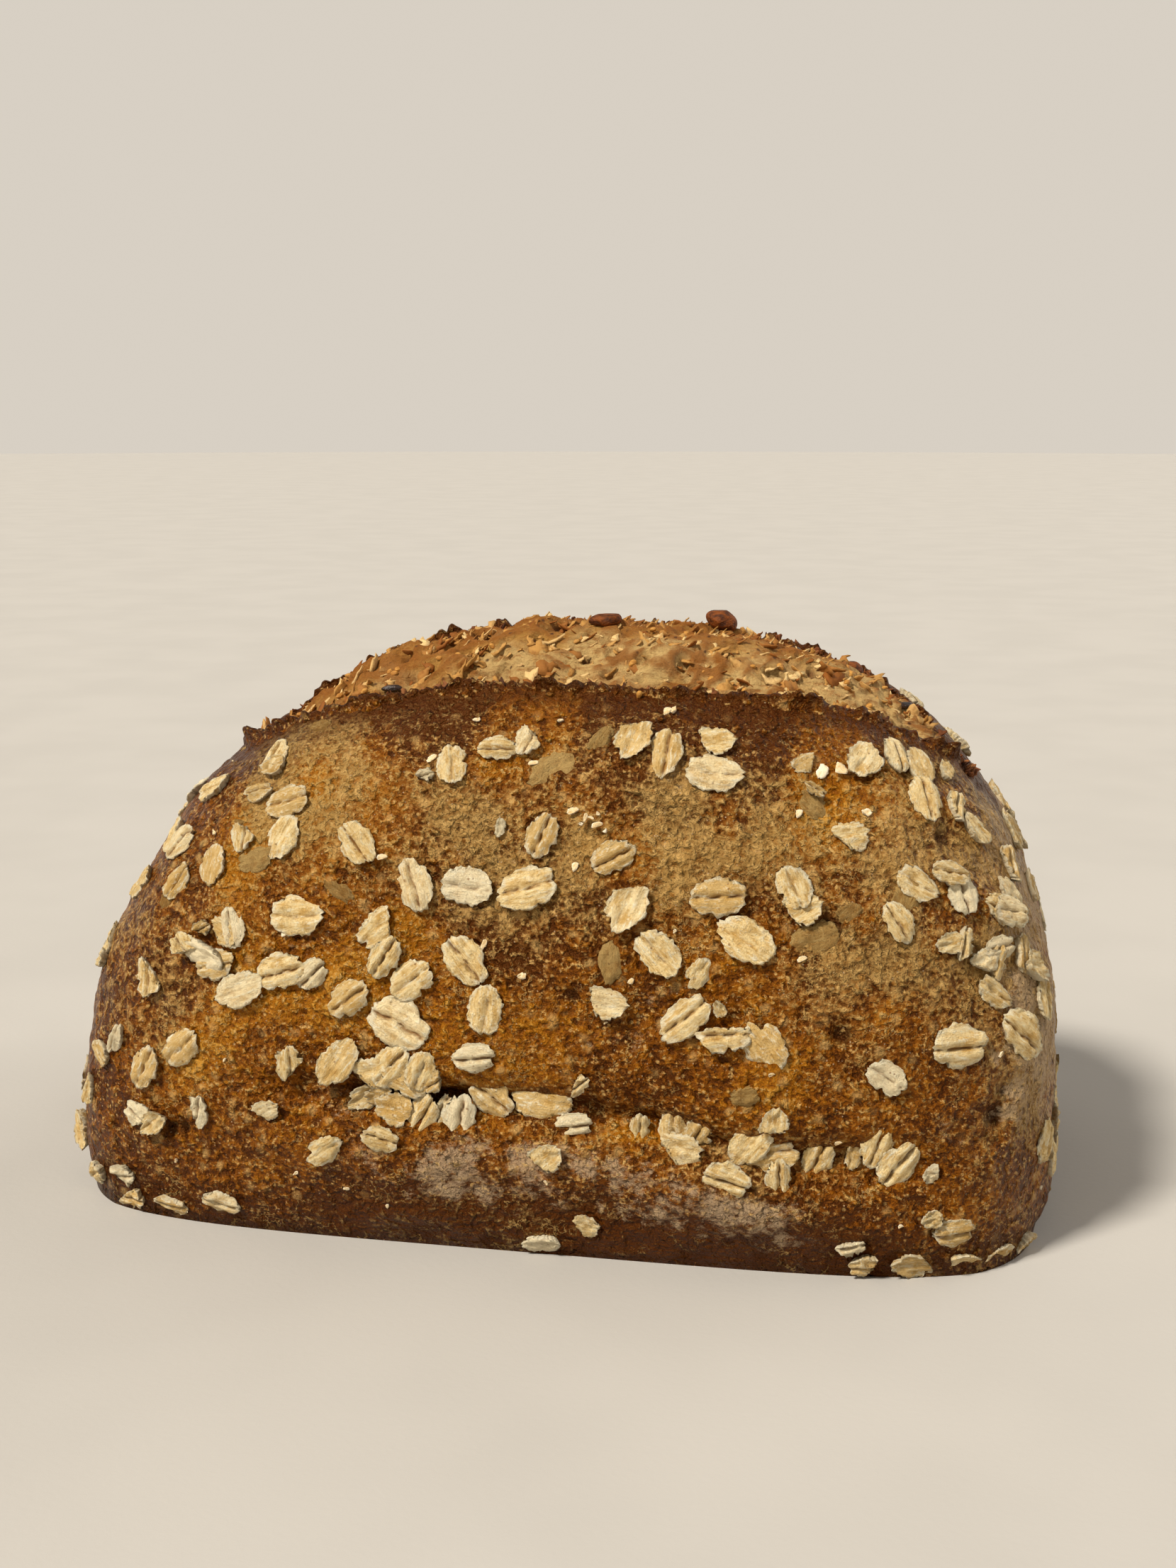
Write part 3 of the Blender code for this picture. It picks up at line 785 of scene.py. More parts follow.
@dataclass
class Crust:
    """The baked crust: a closed dense shell with fold, dents and a flat base."""

    form: LoafForm
    finish: CrustFinish = field(default_factory=CrustFinish)
    step_along: float = 0.94
    step_across: float = 1.2
    step_up: float = 0.9
    sink_under_crumb: float = 2.2
    blister_height: float = 0.50
    grain_height: float = 0.36
    crease_depth: float = 1.7
    crease_width: float = 1.5
    pit_count: int = 60
    pit_seed: int = 5
    front_pits: tuple[tuple[float, float, float, float], ...] = (
        (84.8, 29.3, 2.4, 2.0),
        (57.4, 45.2, 1.9, 1.7),
        (-68.5, 18.7, 1.4, 1.6),
        (-65.8, 19.1, 1.5, 1.8),
        (9.6, 50.0, 1.5, 1.3),
        (54.7, 63.2, 2.6, 1.5),
        (-47.4, 52.8, 1.4, 1.1),
        (73.6, 77.1, 1.7, 1.5),
    )
    # Haze patches on the front: strength, place along, width, height and reach. The third, at the upper
    # left, is a painted highlight where light falls strongest.
    film_patches_and_highlight: tuple[tuple[float, float, float, float, float], ...] = (
        (1.1, 6.0, 42.0, 77.0, 17.0),
        (0.95, 64.0, 20.0, 62.0, 24.0),
        (1.0, -42.0, 17.0, 84.0, 11.0),
        (0.5, 50.0, 24.0, 22.0, 10.0),
        (0.75, -78.0, 14.0, 48.0, 16.0),
    )

    def shell(self) -> tuple[np.ndarray, list[list[int]], np.ndarray]:
        """Lay out the five walls of a box lattice and its base ring.

        Returns:
            Lattice places in millimetres, faces, and which points lie on the base.
        """
        form = self.form
        spans = (2.0 * form.half_length, 2.0 * form.half_depth, form.height)
        steps = (self.step_along, self.step_across, self.step_up)
        nx, ny, nz = (round(span / (step * COARSE)) for span, step in zip(spans, steps))

        def key(i: np.ndarray, j: np.ndarray, k: np.ndarray) -> np.ndarray:
            return (i * (ny + 1) + j) * (nz + 1) + k

        def sheet(count_a: int, count_b: int, place: Callable) -> np.ndarray:
            a, b = np.meshgrid(np.arange(count_a), np.arange(count_b), indexing="ij")
            a, b = a.ravel(), b.ravel()
            corners = ((a, b), (a + 1, b), (a + 1, b + 1), (a, b + 1))
            return np.stack([key(*place(*corner)) for corner in corners], axis=-1)

        walls = (
            sheet(nx, nz, lambda a, b: (a, 0 * a, b)),
            sheet(nx, nz, lambda a, b: (nx - a, 0 * a + ny, b)),
            sheet(ny, nz, lambda a, b: (0 * a, ny - a, b)),
            sheet(ny, nz, lambda a, b: (0 * a + nx, a, b)),
            sheet(nx, ny, lambda a, b: (a, b, 0 * a + nz)),
        )
        used, quads = np.unique(np.concatenate(walls), return_inverse=True)
        quads = quads.reshape(-1, 4)
        i, j, k = used // ((ny + 1) * (nz + 1)), used // (nz + 1) % (ny + 1), used % (nz + 1)
        box = np.stack(
            (
                form.half_length * (2.0 * i / nx - 1.0),
                form.half_depth * (2.0 * j / ny - 1.0),
                self.levels(nz)[k],
            ),
            axis=-1,
        )
        ring = np.flatnonzero(k == 0)
        order = np.argsort(-np.arctan2(box[ring, 1], box[ring, 0]))
        faces = quads.tolist() + [ring[order].tolist()]
        return box, faces, k == 0

    def levels(self, count: int) -> np.ndarray:
        """Heights of the lattice's rows, closer together about the fold."""
        even = np.linspace(0.0, 1.0, 400)
        heights = self.form.height * even
        weight = 1.0 + 0.9 * bell(heights, 26.0, 7.0)
        reached = np.concatenate(((0.0,), np.cumsum(0.5 * (weight[1:] + weight[:-1]))))
        return np.interp(np.linspace(0.0, reached[-1], count + 1), reached, heights)

    def pits(self, surface: np.ndarray) -> np.ndarray:
        """Places, radii and depths of the small dents, as rows of five numbers."""
        draw = np.random.default_rng(self.pit_seed)
        rows = [(*self.form.on_side(a, up, Side.FRONT), r, d) for a, up, r, d in self.front_pits]
        upper = surface[surface[:, 2] > 6.0]
        for pick in draw.integers(0, len(upper), self.pit_count):
            rows.append((*upper[pick], draw.uniform(0.5, 1.3), draw.uniform(0.4, 1.0)))
        return np.array(rows)

    def gap_to_edge(self, surface: np.ndarray, edge: TornEdge, first: float, last: float) -> np.ndarray:
        """Distance from surface points to one edge of the opening, between two places along it."""
        along = np.linspace(first, last, 90)
        gap = np.full(len(surface), 200.0)
        for point in self.form.on_top(along, self.form.edge_line(along, edge)):
            gap = np.minimum(gap, np.linalg.norm(surface - point, axis=1))
        return gap

    def fading(self, along: np.ndarray) -> np.ndarray:
        """How far the crease of the fold stands open at places along the loaf."""
        return (0.15 + 0.85 * smooth(22.0, 4.0, along)) * smooth(-52.0, -28.0, along)

    def marks(self, surface: np.ndarray, pit: np.ndarray) -> dict[str, np.ndarray]:
        """Work out where the crust is burnt, hazy, floured and pitted, and where shade and a highlight are
        painted into its colour.
        """
        form = self.form
        along, across, up = surface.T
        ear_gap = self.gap_to_edge(surface, TornEdge.EAR, -66.0, 80.0)
        back_gap = self.gap_to_edge(surface, TornEdge.BACK, -58.0, 80.0)
        width = 5.5 + 3.5 * smooth(-20.0, -60.0, along)
        uneven = 0.95 + 0.5 * ripple(surface * np.array((1.0, 0.0, 0.0)), 19.0, 3.0)
        burn = uneven * np.exp(-((ear_gap / width) ** 1.3)) + 0.75 * np.exp(-((back_gap / 4.5) ** 1.3))
        below, span = form.below_fold(surface)
        crease = span * bell(below, -0.5, 2.2) * self.fading(along)
        under = smooth(-48.0, -24.0, along) * smooth(80.0, 55.0, along) * (across < 0.0)
        foot = 0.75 * smooth(13.0, 0.5, up) + 0.85 * under * smooth(21.0, 7.0, up)
        shade = 0.9 * crease + foot + 0.25 * smooth(-60.0, -92.0, along)
        shade = shade + 0.5 * bell(along, -6.0, 30.0) * bell(up, 44.0, 17.0) * (across < 0.0)
        shade = shade + 0.95 * bell(ear_gap, 0.0, 14.0) + 0.5 * bell(back_gap, 0.0, 11.0)
        patch = ripple(surface, 9.0, 4.0)
        roll = smooth(3.0, 9.0, below) * smooth(25.0, 14.0, below) * span
        roll = roll * smooth(-46.0, -20.0, along) * smooth(66.0, 40.0, along)
        flour = 0.95 * roll * np.clip(0.82 + 0.7 * patch, 0.0, 1.0)
        loose = smooth(0.10, 0.50, ripple(surface, 17.0, 9.0)) * smooth(6.0, 20.0, up)
        flour = np.maximum(flour, 0.40 * loose * (up < 96.0))
        # The right end's edge gets flour and haze. This is partly real flour and partly painted light where
        # light falls on that end.
        edge = smooth(74.0, 90.0, along) * smooth(14.0, 30.0, up) * smooth(92.0, 80.0, up)
        flour = np.maximum(flour, edge * np.clip(0.7 + 1.2 * patch, 0.0, 1.0))
        front = smooth(-4.0, -28.0, across)
        # Painted highlight on the upper left of the front, where light falls strongest. Random golden
        # patches higher up are added to it.
        highlight_and_gold = bell(along, -38.0, 15.0) * bell(up, 84.0, 10.0) * front
        highlight_and_gold = highlight_and_gold + 0.8 * smooth(0.05, 0.5, ripple(surface, 22.0, 14.0)) * (up > 24.0)
        other = smooth(-0.05, 0.45, ripple(surface, 34.0, 2.0))
        shown = 0.35 * other
        for strength, place, width, level, reach in self.film_patches_and_highlight:
            shown = shown + strength * bell(along, place, width) * bell(up, level, reach)
        haze_and_highlight = front * shown + (1.0 - front) * 0.7 * other + 0.9 * edge
        haze_and_highlight = haze_and_highlight * np.clip(0.85 + 0.7 * ripple(surface, 12.0, 6.0), 0.0, 1.0)
        return {
            "burn": np.clip(burn, 0.0, 1.0),
            "highlight_and_gold": np.clip(highlight_and_gold, 0.0, 1.0),
            "shade": np.clip(shade, 0.0, 1.45),
            "haze_and_highlight": np.clip(haze_and_highlight, 0.0, 1.0),
            "flour": np.clip(flour, 0.0, 1.0),
            "pit": pit,
        }

    def build(self) -> bpy.types.Object:
        """Build and dress the crust."""
        form = self.form
        box, faces, base = self.shell()
        centre = np.array(form.centre)
        surface = form.march(np.broadcast_to(centre, box.shape), centre + unit(box - centre) * 160.0)
        normal = form.outward(surface)
        height = form.relief(surface)
        skin = self.blister_height * ripple(surface, 4.6, 3.1)
        skin = skin + self.grain_height * ripple(surface, 2.4, 7.7)
        below, span = form.below_fold(surface)
        wrinkle = ripple(surface * np.array((0.35, 1.0, 1.7)), 3.4, 1.3)
        skin = skin + 0.9 * span * bell(below, 2.0, 7.0) * wrinkle
        line = surface * np.array((1.0, 0.0, 0.0))
        cut = bell(below + 2.0 * ripple(line, 13.0, 2.2), 0.0, self.crease_width)
        broken = smooth(-0.35, 0.1, ripple(line, 16.0, 5.5))
        skin = skin - self.crease_depth * span * cut * broken * self.fading(surface[:, 0])
        pit = np.zeros(len(surface))
        for x, y, z, radius, depth in self.pits(surface):
            gap = np.linalg.norm(surface - np.array((x, y, z)), axis=1)
            dent = np.exp(-((gap / radius) ** 2) * (1.0 + 0.3 * np.sin(3.0 * surface[:, 0])))
            skin = skin - depth * dent
            pit = np.maximum(pit, dent * min(1.0, depth))
        inner = smooth(0.5, 3.0, form.opening(surface))
        height = height + skin * (1.0 - inner) - self.sink_under_crumb * inner
        points = surface + normal * height[:, None]
        points[:, 2] = np.where(base, 0.0, np.maximum(points[:, 2], 0.3))
        points[base, :2] = surface[base, :2]
        piece = make_piece("Crust", hold_in_box(points), faces, self.marks(surface, pit))
        piece.data.materials.append(self.finish.material("BakedCrust"))
        piece.data.polygons[-1].use_smooth = False
        return settle(piece)


@dataclass
class TornCrumb:
    """The crumb that tore open along the crest: ridged strands with pockets between them."""

    form: LoafForm
    finish: CrumbFinish = field(default_factory=CrumbFinish)
    first: float = -65.0
    last: float = 79.6
    step: float = 0.38
    rows: int = 92
    skirt: float = 3.2

    def torn(self, points: np.ndarray) -> np.ndarray:
        """Height of the torn strands and pockets over the swollen crumb."""
        turn = math.radians(24.0)
        turned = points @ np.array(
            (
                (math.cos(turn), -math.sin(turn), 0.0),
                (math.sin(turn), math.cos(turn), 0.0),
                (0.0, 0.0, 1.0),
            )
        )
        bent = turned + 0.9 * ripple(points, 5.0, 11.0)[:, None]
        strands = 1.0 - np.abs(ripple(bent * np.array((0.42, 1.0, 1.0)), 3.2, 2.0)) * 2.4
        threads = 1.0 - np.abs(ripple(bent * np.array((0.45, 1.0, 1.0)), 1.7, 5.0)) * 2.4
        pockets = smooth(0.12, 0.5, ripple(points, 3.8, 8.0))
        clumps = ripple(points, 7.5, 3.0)
        rough = ripple(points, 1.15, 6.0)
        curls = 1.0 - np.abs(ripple(bent * np.array((0.7, 1.0, 1.0)), 5.2, 9.0)) * 2.6
        torn = 0.55 * strands + 0.45 * threads + 0.6 * curls - 1.5 * pockets
        return torn + 0.8 * clumps + 0.34 * rough

    def build(self) -> bpy.types.Object:
        """Build and dress the crumb."""
        form = self.form
        step = self.step * COARSE
        rows = self.rows // 1
        along = np.arange(self.first, self.last, step)
        part = np.linspace(-0.03, 1.03, rows)
        front = form.edge_line(along, TornEdge.EAR)
        back = form.edge_line(along, TornEdge.BACK)
        grid_x = np.repeat(along[:, None], rows, axis=1)
        grid_y = front[:, None] + (back - front)[:, None] * part[None, :]
        surface = form.on_top(grid_x.ravel(), grid_y.ravel())
        torn = self.torn(surface)
        depth = form.opening(surface)
        held = smooth(-0.5, 3.0, depth)
        height = form.relief(surface) + (torn - 0.3) * held - 0.8 * (1.0 - held)
        rim = np.zeros((len(along), rows), bool)
        rim[0], rim[-1], rim[:, 0], rim[:, -1] = True, True, True, True
        height = np.where(rim.ravel(), -self.skirt, height)
        points = surface + form.outward(surface) * height[:, None]
        number = np.arange(len(along) * rows).reshape(len(along), rows)
        faces = grid_faces(number)
        loop = [*number[0, :], *number[1:, -1], *number[-1, -2::-1], *number[-2:0:-1, 0]]
        faces.append([int(entry) for entry in loop])
        singe = np.exp(-np.maximum(depth, 0.0) / 2.0)
        inward = surface[:, 1] - form.edge_line(surface[:, 0], TornEdge.EAR)
        bake = smooth(6.0, 20.0, inward) + 0.9 * smooth(-10.0, -34.0, surface[:, 0])
        bake = np.clip(bake + 0.8 * ripple(surface, 12.0, 1.0), 0.0, 1.0)
        bake = bake * smooth(66.0, 40.0, surface[:, 0])
        marks = {"peak": torn, "singe": singe, "bake": bake}
        piece = make_piece("TornCrumb", hold_in_box(points), faces, marks)
        piece.data.materials.append(self.finish.material("TornCrumb"))
        return settle(piece)


@dataclass
class TornLip:
    """A ragged standing edge of crust along one side of the opening."""

    form: LoafForm
    edge: TornEdge
    first: float
    last: float
    rise: float
    ragged: float
    peaks: tuple[tuple[float, float, float], ...] = ()
    finish: CrustFinish = field(default_factory=CrustFinish)
    root: float = 2.4
    fade: float = 7.0
    step: float = 0.33

    def build(self) -> bpy.types.Object:
        """Build and dress the lip."""
        form = self.form
        step = self.step * 1.0
        along = np.arange(self.first, self.last, step)
        foot = form.on_top(along, form.edge_line(along, self.edge))
        ahead = form.on_top(along + 0.5, form.edge_line(along + 0.5, self.edge))
        normal = form.outward(foot)
        outer = -1.0 if self.edge is TornEdge.EAR else 1.0
        side = unit(np.cross(normal, ahead - foot))
        side = side * np.where(side[:, 1] * outer < 0.0, -1.0, 1.0)[:, None]
        line = np.stack((along, np.full_like(along, outer * 7.0), np.zeros_like(along)), axis=-1)
        height = self.rise + self.ragged * np.abs(ripple(line, 3.1))
        height = height + 0.9 * ripple(line, 1.3, 4.0) + 0.5 * ripple(line, 0.7, 8.0)
        for place, width, extra in self.peaks:
            height = height + extra * bell(along, place, width)
        shown = smooth(0.0, self.fade, np.minimum(along - self.first, self.last - along))
        height = np.maximum(height, 0.15) * shown - 1.4 * (1.0 - shown)
        wander = 0.8 * ripple(line, 5.0, 2.0) + 0.35 * ripple(line, 1.6, 9.0)
        base = form.baked(foot)
        profile = (
            (3.6, -self.root, 0.0, 0.0),
            (3.0, -0.35, 0.0, 0.05),
            (1.9, 0.10, 0.15, 0.35),
            (1.15, 0.25, 0.55, 0.7),
            (0.75, 0.2, 0.9, 0.9),
            (0.35, 0.15, 1.0, 1.0),
            (0.0, 0.1, 0.9, 1.0),
            (-0.2, 0.0, 0.5, 0.8),
            (-0.55, -0.5, 0.1, 0.6),
            (-1.1, -self.root, 0.0, 0.4),
        )
        rings, burn = [], []
        for out, up, share, char in profile:
            place = base + side * (out + wander * share)[:, None]
            place = place + normal * (up + height * share)[:, None]
            grain = 0.22 * ripple(place, 1.1, 3.0) + 0.35 * ripple(place, 2.6, 1.0) * share
            rings.append(place + side * grain[:, None])
            burn.append(np.clip(char + 0.35 * ripple(place, 4.0, 6.0), 0.0, 1.0))
        count, width = len(along), len(profile)
        points = np.stack(rings, axis=1).reshape(-1, 3)
        number = np.arange(count * width).reshape(count, width)
        faces = []
        for col in range(width):
            nxt = (col + 1) % width
            faces += grid_faces(number[:, [col, nxt]])
        faces += [number[0, ::-1].tolist(), number[-1].tolist()]
        if outer < 0.0:
            faces = [face[::-1] for face in faces]
        values = np.stack(burn, axis=1).ravel()
        still = np.zeros_like(values)
        marks = dict.fromkeys(("haze_and_highlight", "flour", "pit", "highlight_and_gold"), still)
        marks |= {"burn": values, "shade": still + 0.4}
        name = "EarLip" if self.edge is TornEdge.EAR else "BackLip"
        piece = make_piece(name, hold_in_box(points), faces, marks)
        face_outward(piece)
        piece.data.materials.append(self.finish.material(name + "Char", -0.05))
        return settle(piece)


@dataclass
class OatFlake:
    """One rolled oat: a thin frayed oval with a lengthwise crease and a lifted rim."""

    kind: FlakeKind
    seed: int
    half_length: float = 4.5
    half_width: float = 3.1
    columns: int = 16
    lines: int = 12
    sheet: float = 0.26

    def build(self) -> bpy.types.Object:
        """Build one flake at the origin, long axis on X, flat side down."""
        draw = random.Random(self.seed)
        shift = 13.0 * self.seed
        whole = self.kind is not FlakeKind.BROKEN
        toasted = self.kind is FlakeKind.TOASTED
        a, b = np.meshgrid(
            np.linspace(-1.0, 1.0, self.columns + 1),
            np.linspace(-1.0, 1.0, self.lines + 1),
            indexing="ij",
        )
        b = np.sign(b) * np.abs(b) ** 1.3
        x = a * np.sqrt(1.0 - 0.5 * b * b)
        y = b * np.sqrt(1.0 - 0.5 * a * a)
        angle = np.arctan2(y, x)
        reach = np.clip(np.hypot(x, y), 0.0, 1.0)
        ring = np.stack((np.cos(angle), np.sin(angle), 0.0 * angle), axis=-1).reshape(-1, 3)
        slow = ripple(ring, 0.8, shift).reshape(x.shape)
        frayed = ripple(ring, 0.13, shift).reshape(x.shape)
        torn = ripple(ring, 0.34, shift + 5.0).reshape(x.shape)
        fray, tear = (0.14, 0.09) if whole else (0.16, 0.18)
        stretch = 1.0 + 0.12 * slow * reach + fray * frayed * reach**5
        stretch = stretch - tear * np.abs(torn) * reach**3
        for _ in range(3):
            at, size = draw.uniform(-math.pi, math.pi), draw.uniform(0.04, 0.24 if whole else 0.34)
            gap = np.abs((angle - at + math.pi) % (2.0 * math.pi) - math.pi)
            stretch = stretch - size * np.exp(-((gap / draw.uniform(0.10, 0.22)) ** 2)) * reach**3
        x, y = x * stretch, y * stretch
        if self.kind is FlakeKind.BROKEN:
            turn, cut = draw.uniform(-math.pi, math.pi), draw.uniform(0.1, 0.75)
            along = x * math.cos(turn) + y * math.sin(turn)
            jag = 0.16 * ripple(ring * 2.0, 0.35, shift).reshape(x.shape)
            over = np.maximum(along - cut - jag, 0.0) * 0.85
            x, y = x - over * math.cos(turn), y - over * math.sin(turn)
        egg = 1.0 + draw.uniform(-0.14, 0.14) * x
        px, py = self.half_length * x, self.half_width * y * egg
        flat = np.stack((px, py, np.full_like(px, shift)), axis=-1).reshape(-1, 3)
        lumps = ripple(flat, 1.5).reshape(x.shape)
        lines = ripple(flat * np.array((0.35, 1.0, 1.0)), 0.8).reshape(x.shape)
        steps = 1.0 - 2.2 * np.abs(ripple(flat * np.array((0.5, 1.0, 1.0)), 1.7, 4.0)).reshape(x.shape)
        crease_y = py - 0.35 * lumps - draw.uniform(-0.35, 0.35)
        deep = draw.choice((0.2, 0.5, 0.8, 1.0)) if whole else draw.choice((0.0, 0.2, 0.7))
        deep = 0.1 if toasted else deep
        length = smooth(1.0, 0.7, np.abs(x) + 0.1 * lumps)
        gaps = ripple(flat * np.array((1.0, 0.0, 0.0)), 1.6, shift + 2.0).reshape(x.shape)
        crease = deep * bell(crease_y, 0.0, 0.24) * length * smooth(-0.55, 0.1, gaps)
        banks = deep * bell(np.abs(crease_y), 0.95, 0.65) * length
        body = 0.42 if toasted else 0.64
        curl = draw.uniform(-0.1, 0.75) * x * x + draw.uniform(-0.3, 0.65) * y * y
        curl = curl + draw.uniform(-0.6, 0.6) * x * y
        ragged = 0.22 if whole else 0.34
        top = body + curl + 0.55 * banks - 0.75 * crease + 0.20 * lumps + 0.10 * lines
        top = top + ragged * steps
        top = top - (0.40 if whole else 0.10) * smooth(0.6, 1.0, reach) * (1.0 + 0.8 * frayed)
        if toasted:
            top = top - 0.35 * smooth(0.5, 1.0, reach)
        upper = np.stack((px, py, top), axis=-1)
        rim = self.rim_cells()
        rim_top = upper[rim[:, 0], rim[:, 1]]
        rim_low = rim_top * np.array((0.97, 0.97, 1.0)) - np.array((0.0, 0.0, self.sheet))
        inner = rim_top * np.array((0.66, 0.66, 0.0)) + np.array((0.0, 0.0, -0.9))
        number = np.arange(x.size).reshape(x.shape)
        faces = grid_faces(number)
        loop = number[rim[:, 0], rim[:, 1]]
        count = len(loop)
        second, third = x.size + np.arange(count), x.size + count + np.arange(count)
        for step in range(count):
            nxt = (step + 1) % count
            faces.append([int(loop[nxt]), int(loop[step]), int(second[step]), int(second[nxt])])
            faces.append([int(second[nxt]), int(second[step]), int(third[step]), int(third[nxt])])
        faces.append(third[::-1].tolist())
        points = np.concatenate((upper.reshape(-1, 3), rim_low, inner))
        below = np.ones(2 * count)
        marks = {
            "rim": np.concatenate((reach.ravel(), below)),
            "crease": np.concatenate((crease.ravel(), 0.0 * below)),
            "lay": points,
        }
        return make_piece(f"{self.kind.value}_{self.seed:03d}", points, faces, marks)

    def rim_cells(self) -> np.ndarray:
        """Grid places around the rim, counter-clockwise from above."""
        m, n = self.columns, self.lines
        bottom = [(i, 0) for i in range(m)]
        right = [(m, j) for j in range(n)]
        top = [(i, n) for i in range(m, 0, -1)]
        left = [(0, j) for j in range(n, 0, -1)]
        return np.array(bottom + right + top + left)


@dataclass
class Seedling:
    """One kernel or millet grain: a lathed drop with a seam."""

    name: str
    length: float
    width: float
    seed: int
    rings: int = 10
    around: int = 14

    def build(self) -> bpy.types.Object:
        """Build one grain at the origin, long axis on X."""
        polar = np.linspace(0.0, math.pi, self.rings + 1)[1:-1]
        turn = np.linspace(0.0, 2.0 * math.pi, self.around, endpoint=False)
        p, t = np.meshgrid(polar, turn, indexing="ij")
        x = -0.5 * self.length * np.cos(p)
        girth = 0.5 * self.width * np.sin(p) * (1.0 - 0.22 * np.cos(p))
        side = np.stack((np.cos(t), np.sin(t), 0.0 * t), axis=-1).reshape(-1, 3)
        shape = ripple(side, 0.7, 3.0 * self.seed).reshape(p.shape)
        along = np.stack((x.ravel(), side[:, 1], side[:, 2]), axis=-1)
        dents = ripple(along, 0.35 * self.length, 5.0 * self.seed).reshape(p.shape)
        girth = girth * (1.0 + 0.10 * shape + 0.16 * dents)
        body = np.stack((x, girth * np.cos(t), 0.8 * girth * np.sin(t)), axis=-1).reshape(-1, 3)
        tips = np.array(((-0.5 * self.length, 0.0, 0.0), (0.5 * self.length, 0.0, 0.0)))
        points = np.concatenate((body, tips))
        faces = []
        rows, cols = p.shape
        for r in range(rows - 1):
            for c in range(cols):
                nxt = (c + 1) % cols
                faces.append([r * cols + c, (r + 1) * cols + c, (r + 1) * cols + nxt, r * cols + nxt])
        for c in range(cols):
            nxt = (c + 1) % cols
            faces.append([rows * cols, c, nxt])
            faces.append([(rows - 1) * cols + c, rows * cols + 1, (rows - 1) * cols + nxt])
        piece = make_piece(self.name, points, faces)
        face_outward(piece)
        return piece


@dataclass
class Shred:
    """One torn flap of crust or crumb: a thin ragged sliver that curls up at its tip."""

    name: str
    length: float
    width: float
    seed: int
    curl: float = 0.8
    steps: int = 5

    def build(self) -> bpy.types.Object:
        """Build one flap at the origin, its root at the back and its tip along X."""
        draw = random.Random(self.seed)
        curl, twist = self.curl * draw.uniform(0.5, 1.3), draw.uniform(-0.9, 0.9)
        points, faces = [], []
        for step in range(self.steps + 1):
            part = step / self.steps
            wide = 0.5 * self.width * (1.0 - 0.85 * part**1.6) * (1.0 + 0.45 * draw.uniform(-1.0, 1.0))
            thick = 0.07 + 0.20 * (1.0 - part)
            along, up = self.length * (part - 0.25), curl * part * part - 0.25 * (1.0 - part)
            drift = 0.2 * self.width * draw.uniform(-1.0, 1.0)
            for across, deep in ((-wide, -thick), (wide, -thick), (wide, thick), (-wide, thick)):
                points.append((along, across + drift, up + deep + twist * part * across))
        for step in range(self.steps):
            for corner in range(4):
                nxt = (corner + 1) % 4
                low, high = 4 * step, 4 * step + 4
                faces.append([low + corner, high + corner, high + nxt, low + nxt])
        faces.append([0, 1, 2, 3])
        faces.append([4 * self.steps + corner for corner in (3, 2, 1, 0)])
        piece = make_piece(self.name, np.array(points), faces)
        face_outward(piece)
        return piece


@dataclass(frozen=True)
class Spot:
    """Where and how one small piece lies."""

    place: tuple[float, float, float]
    turned: tuple[float, float, float]
    size: tuple[float, float, float]
    tone: float


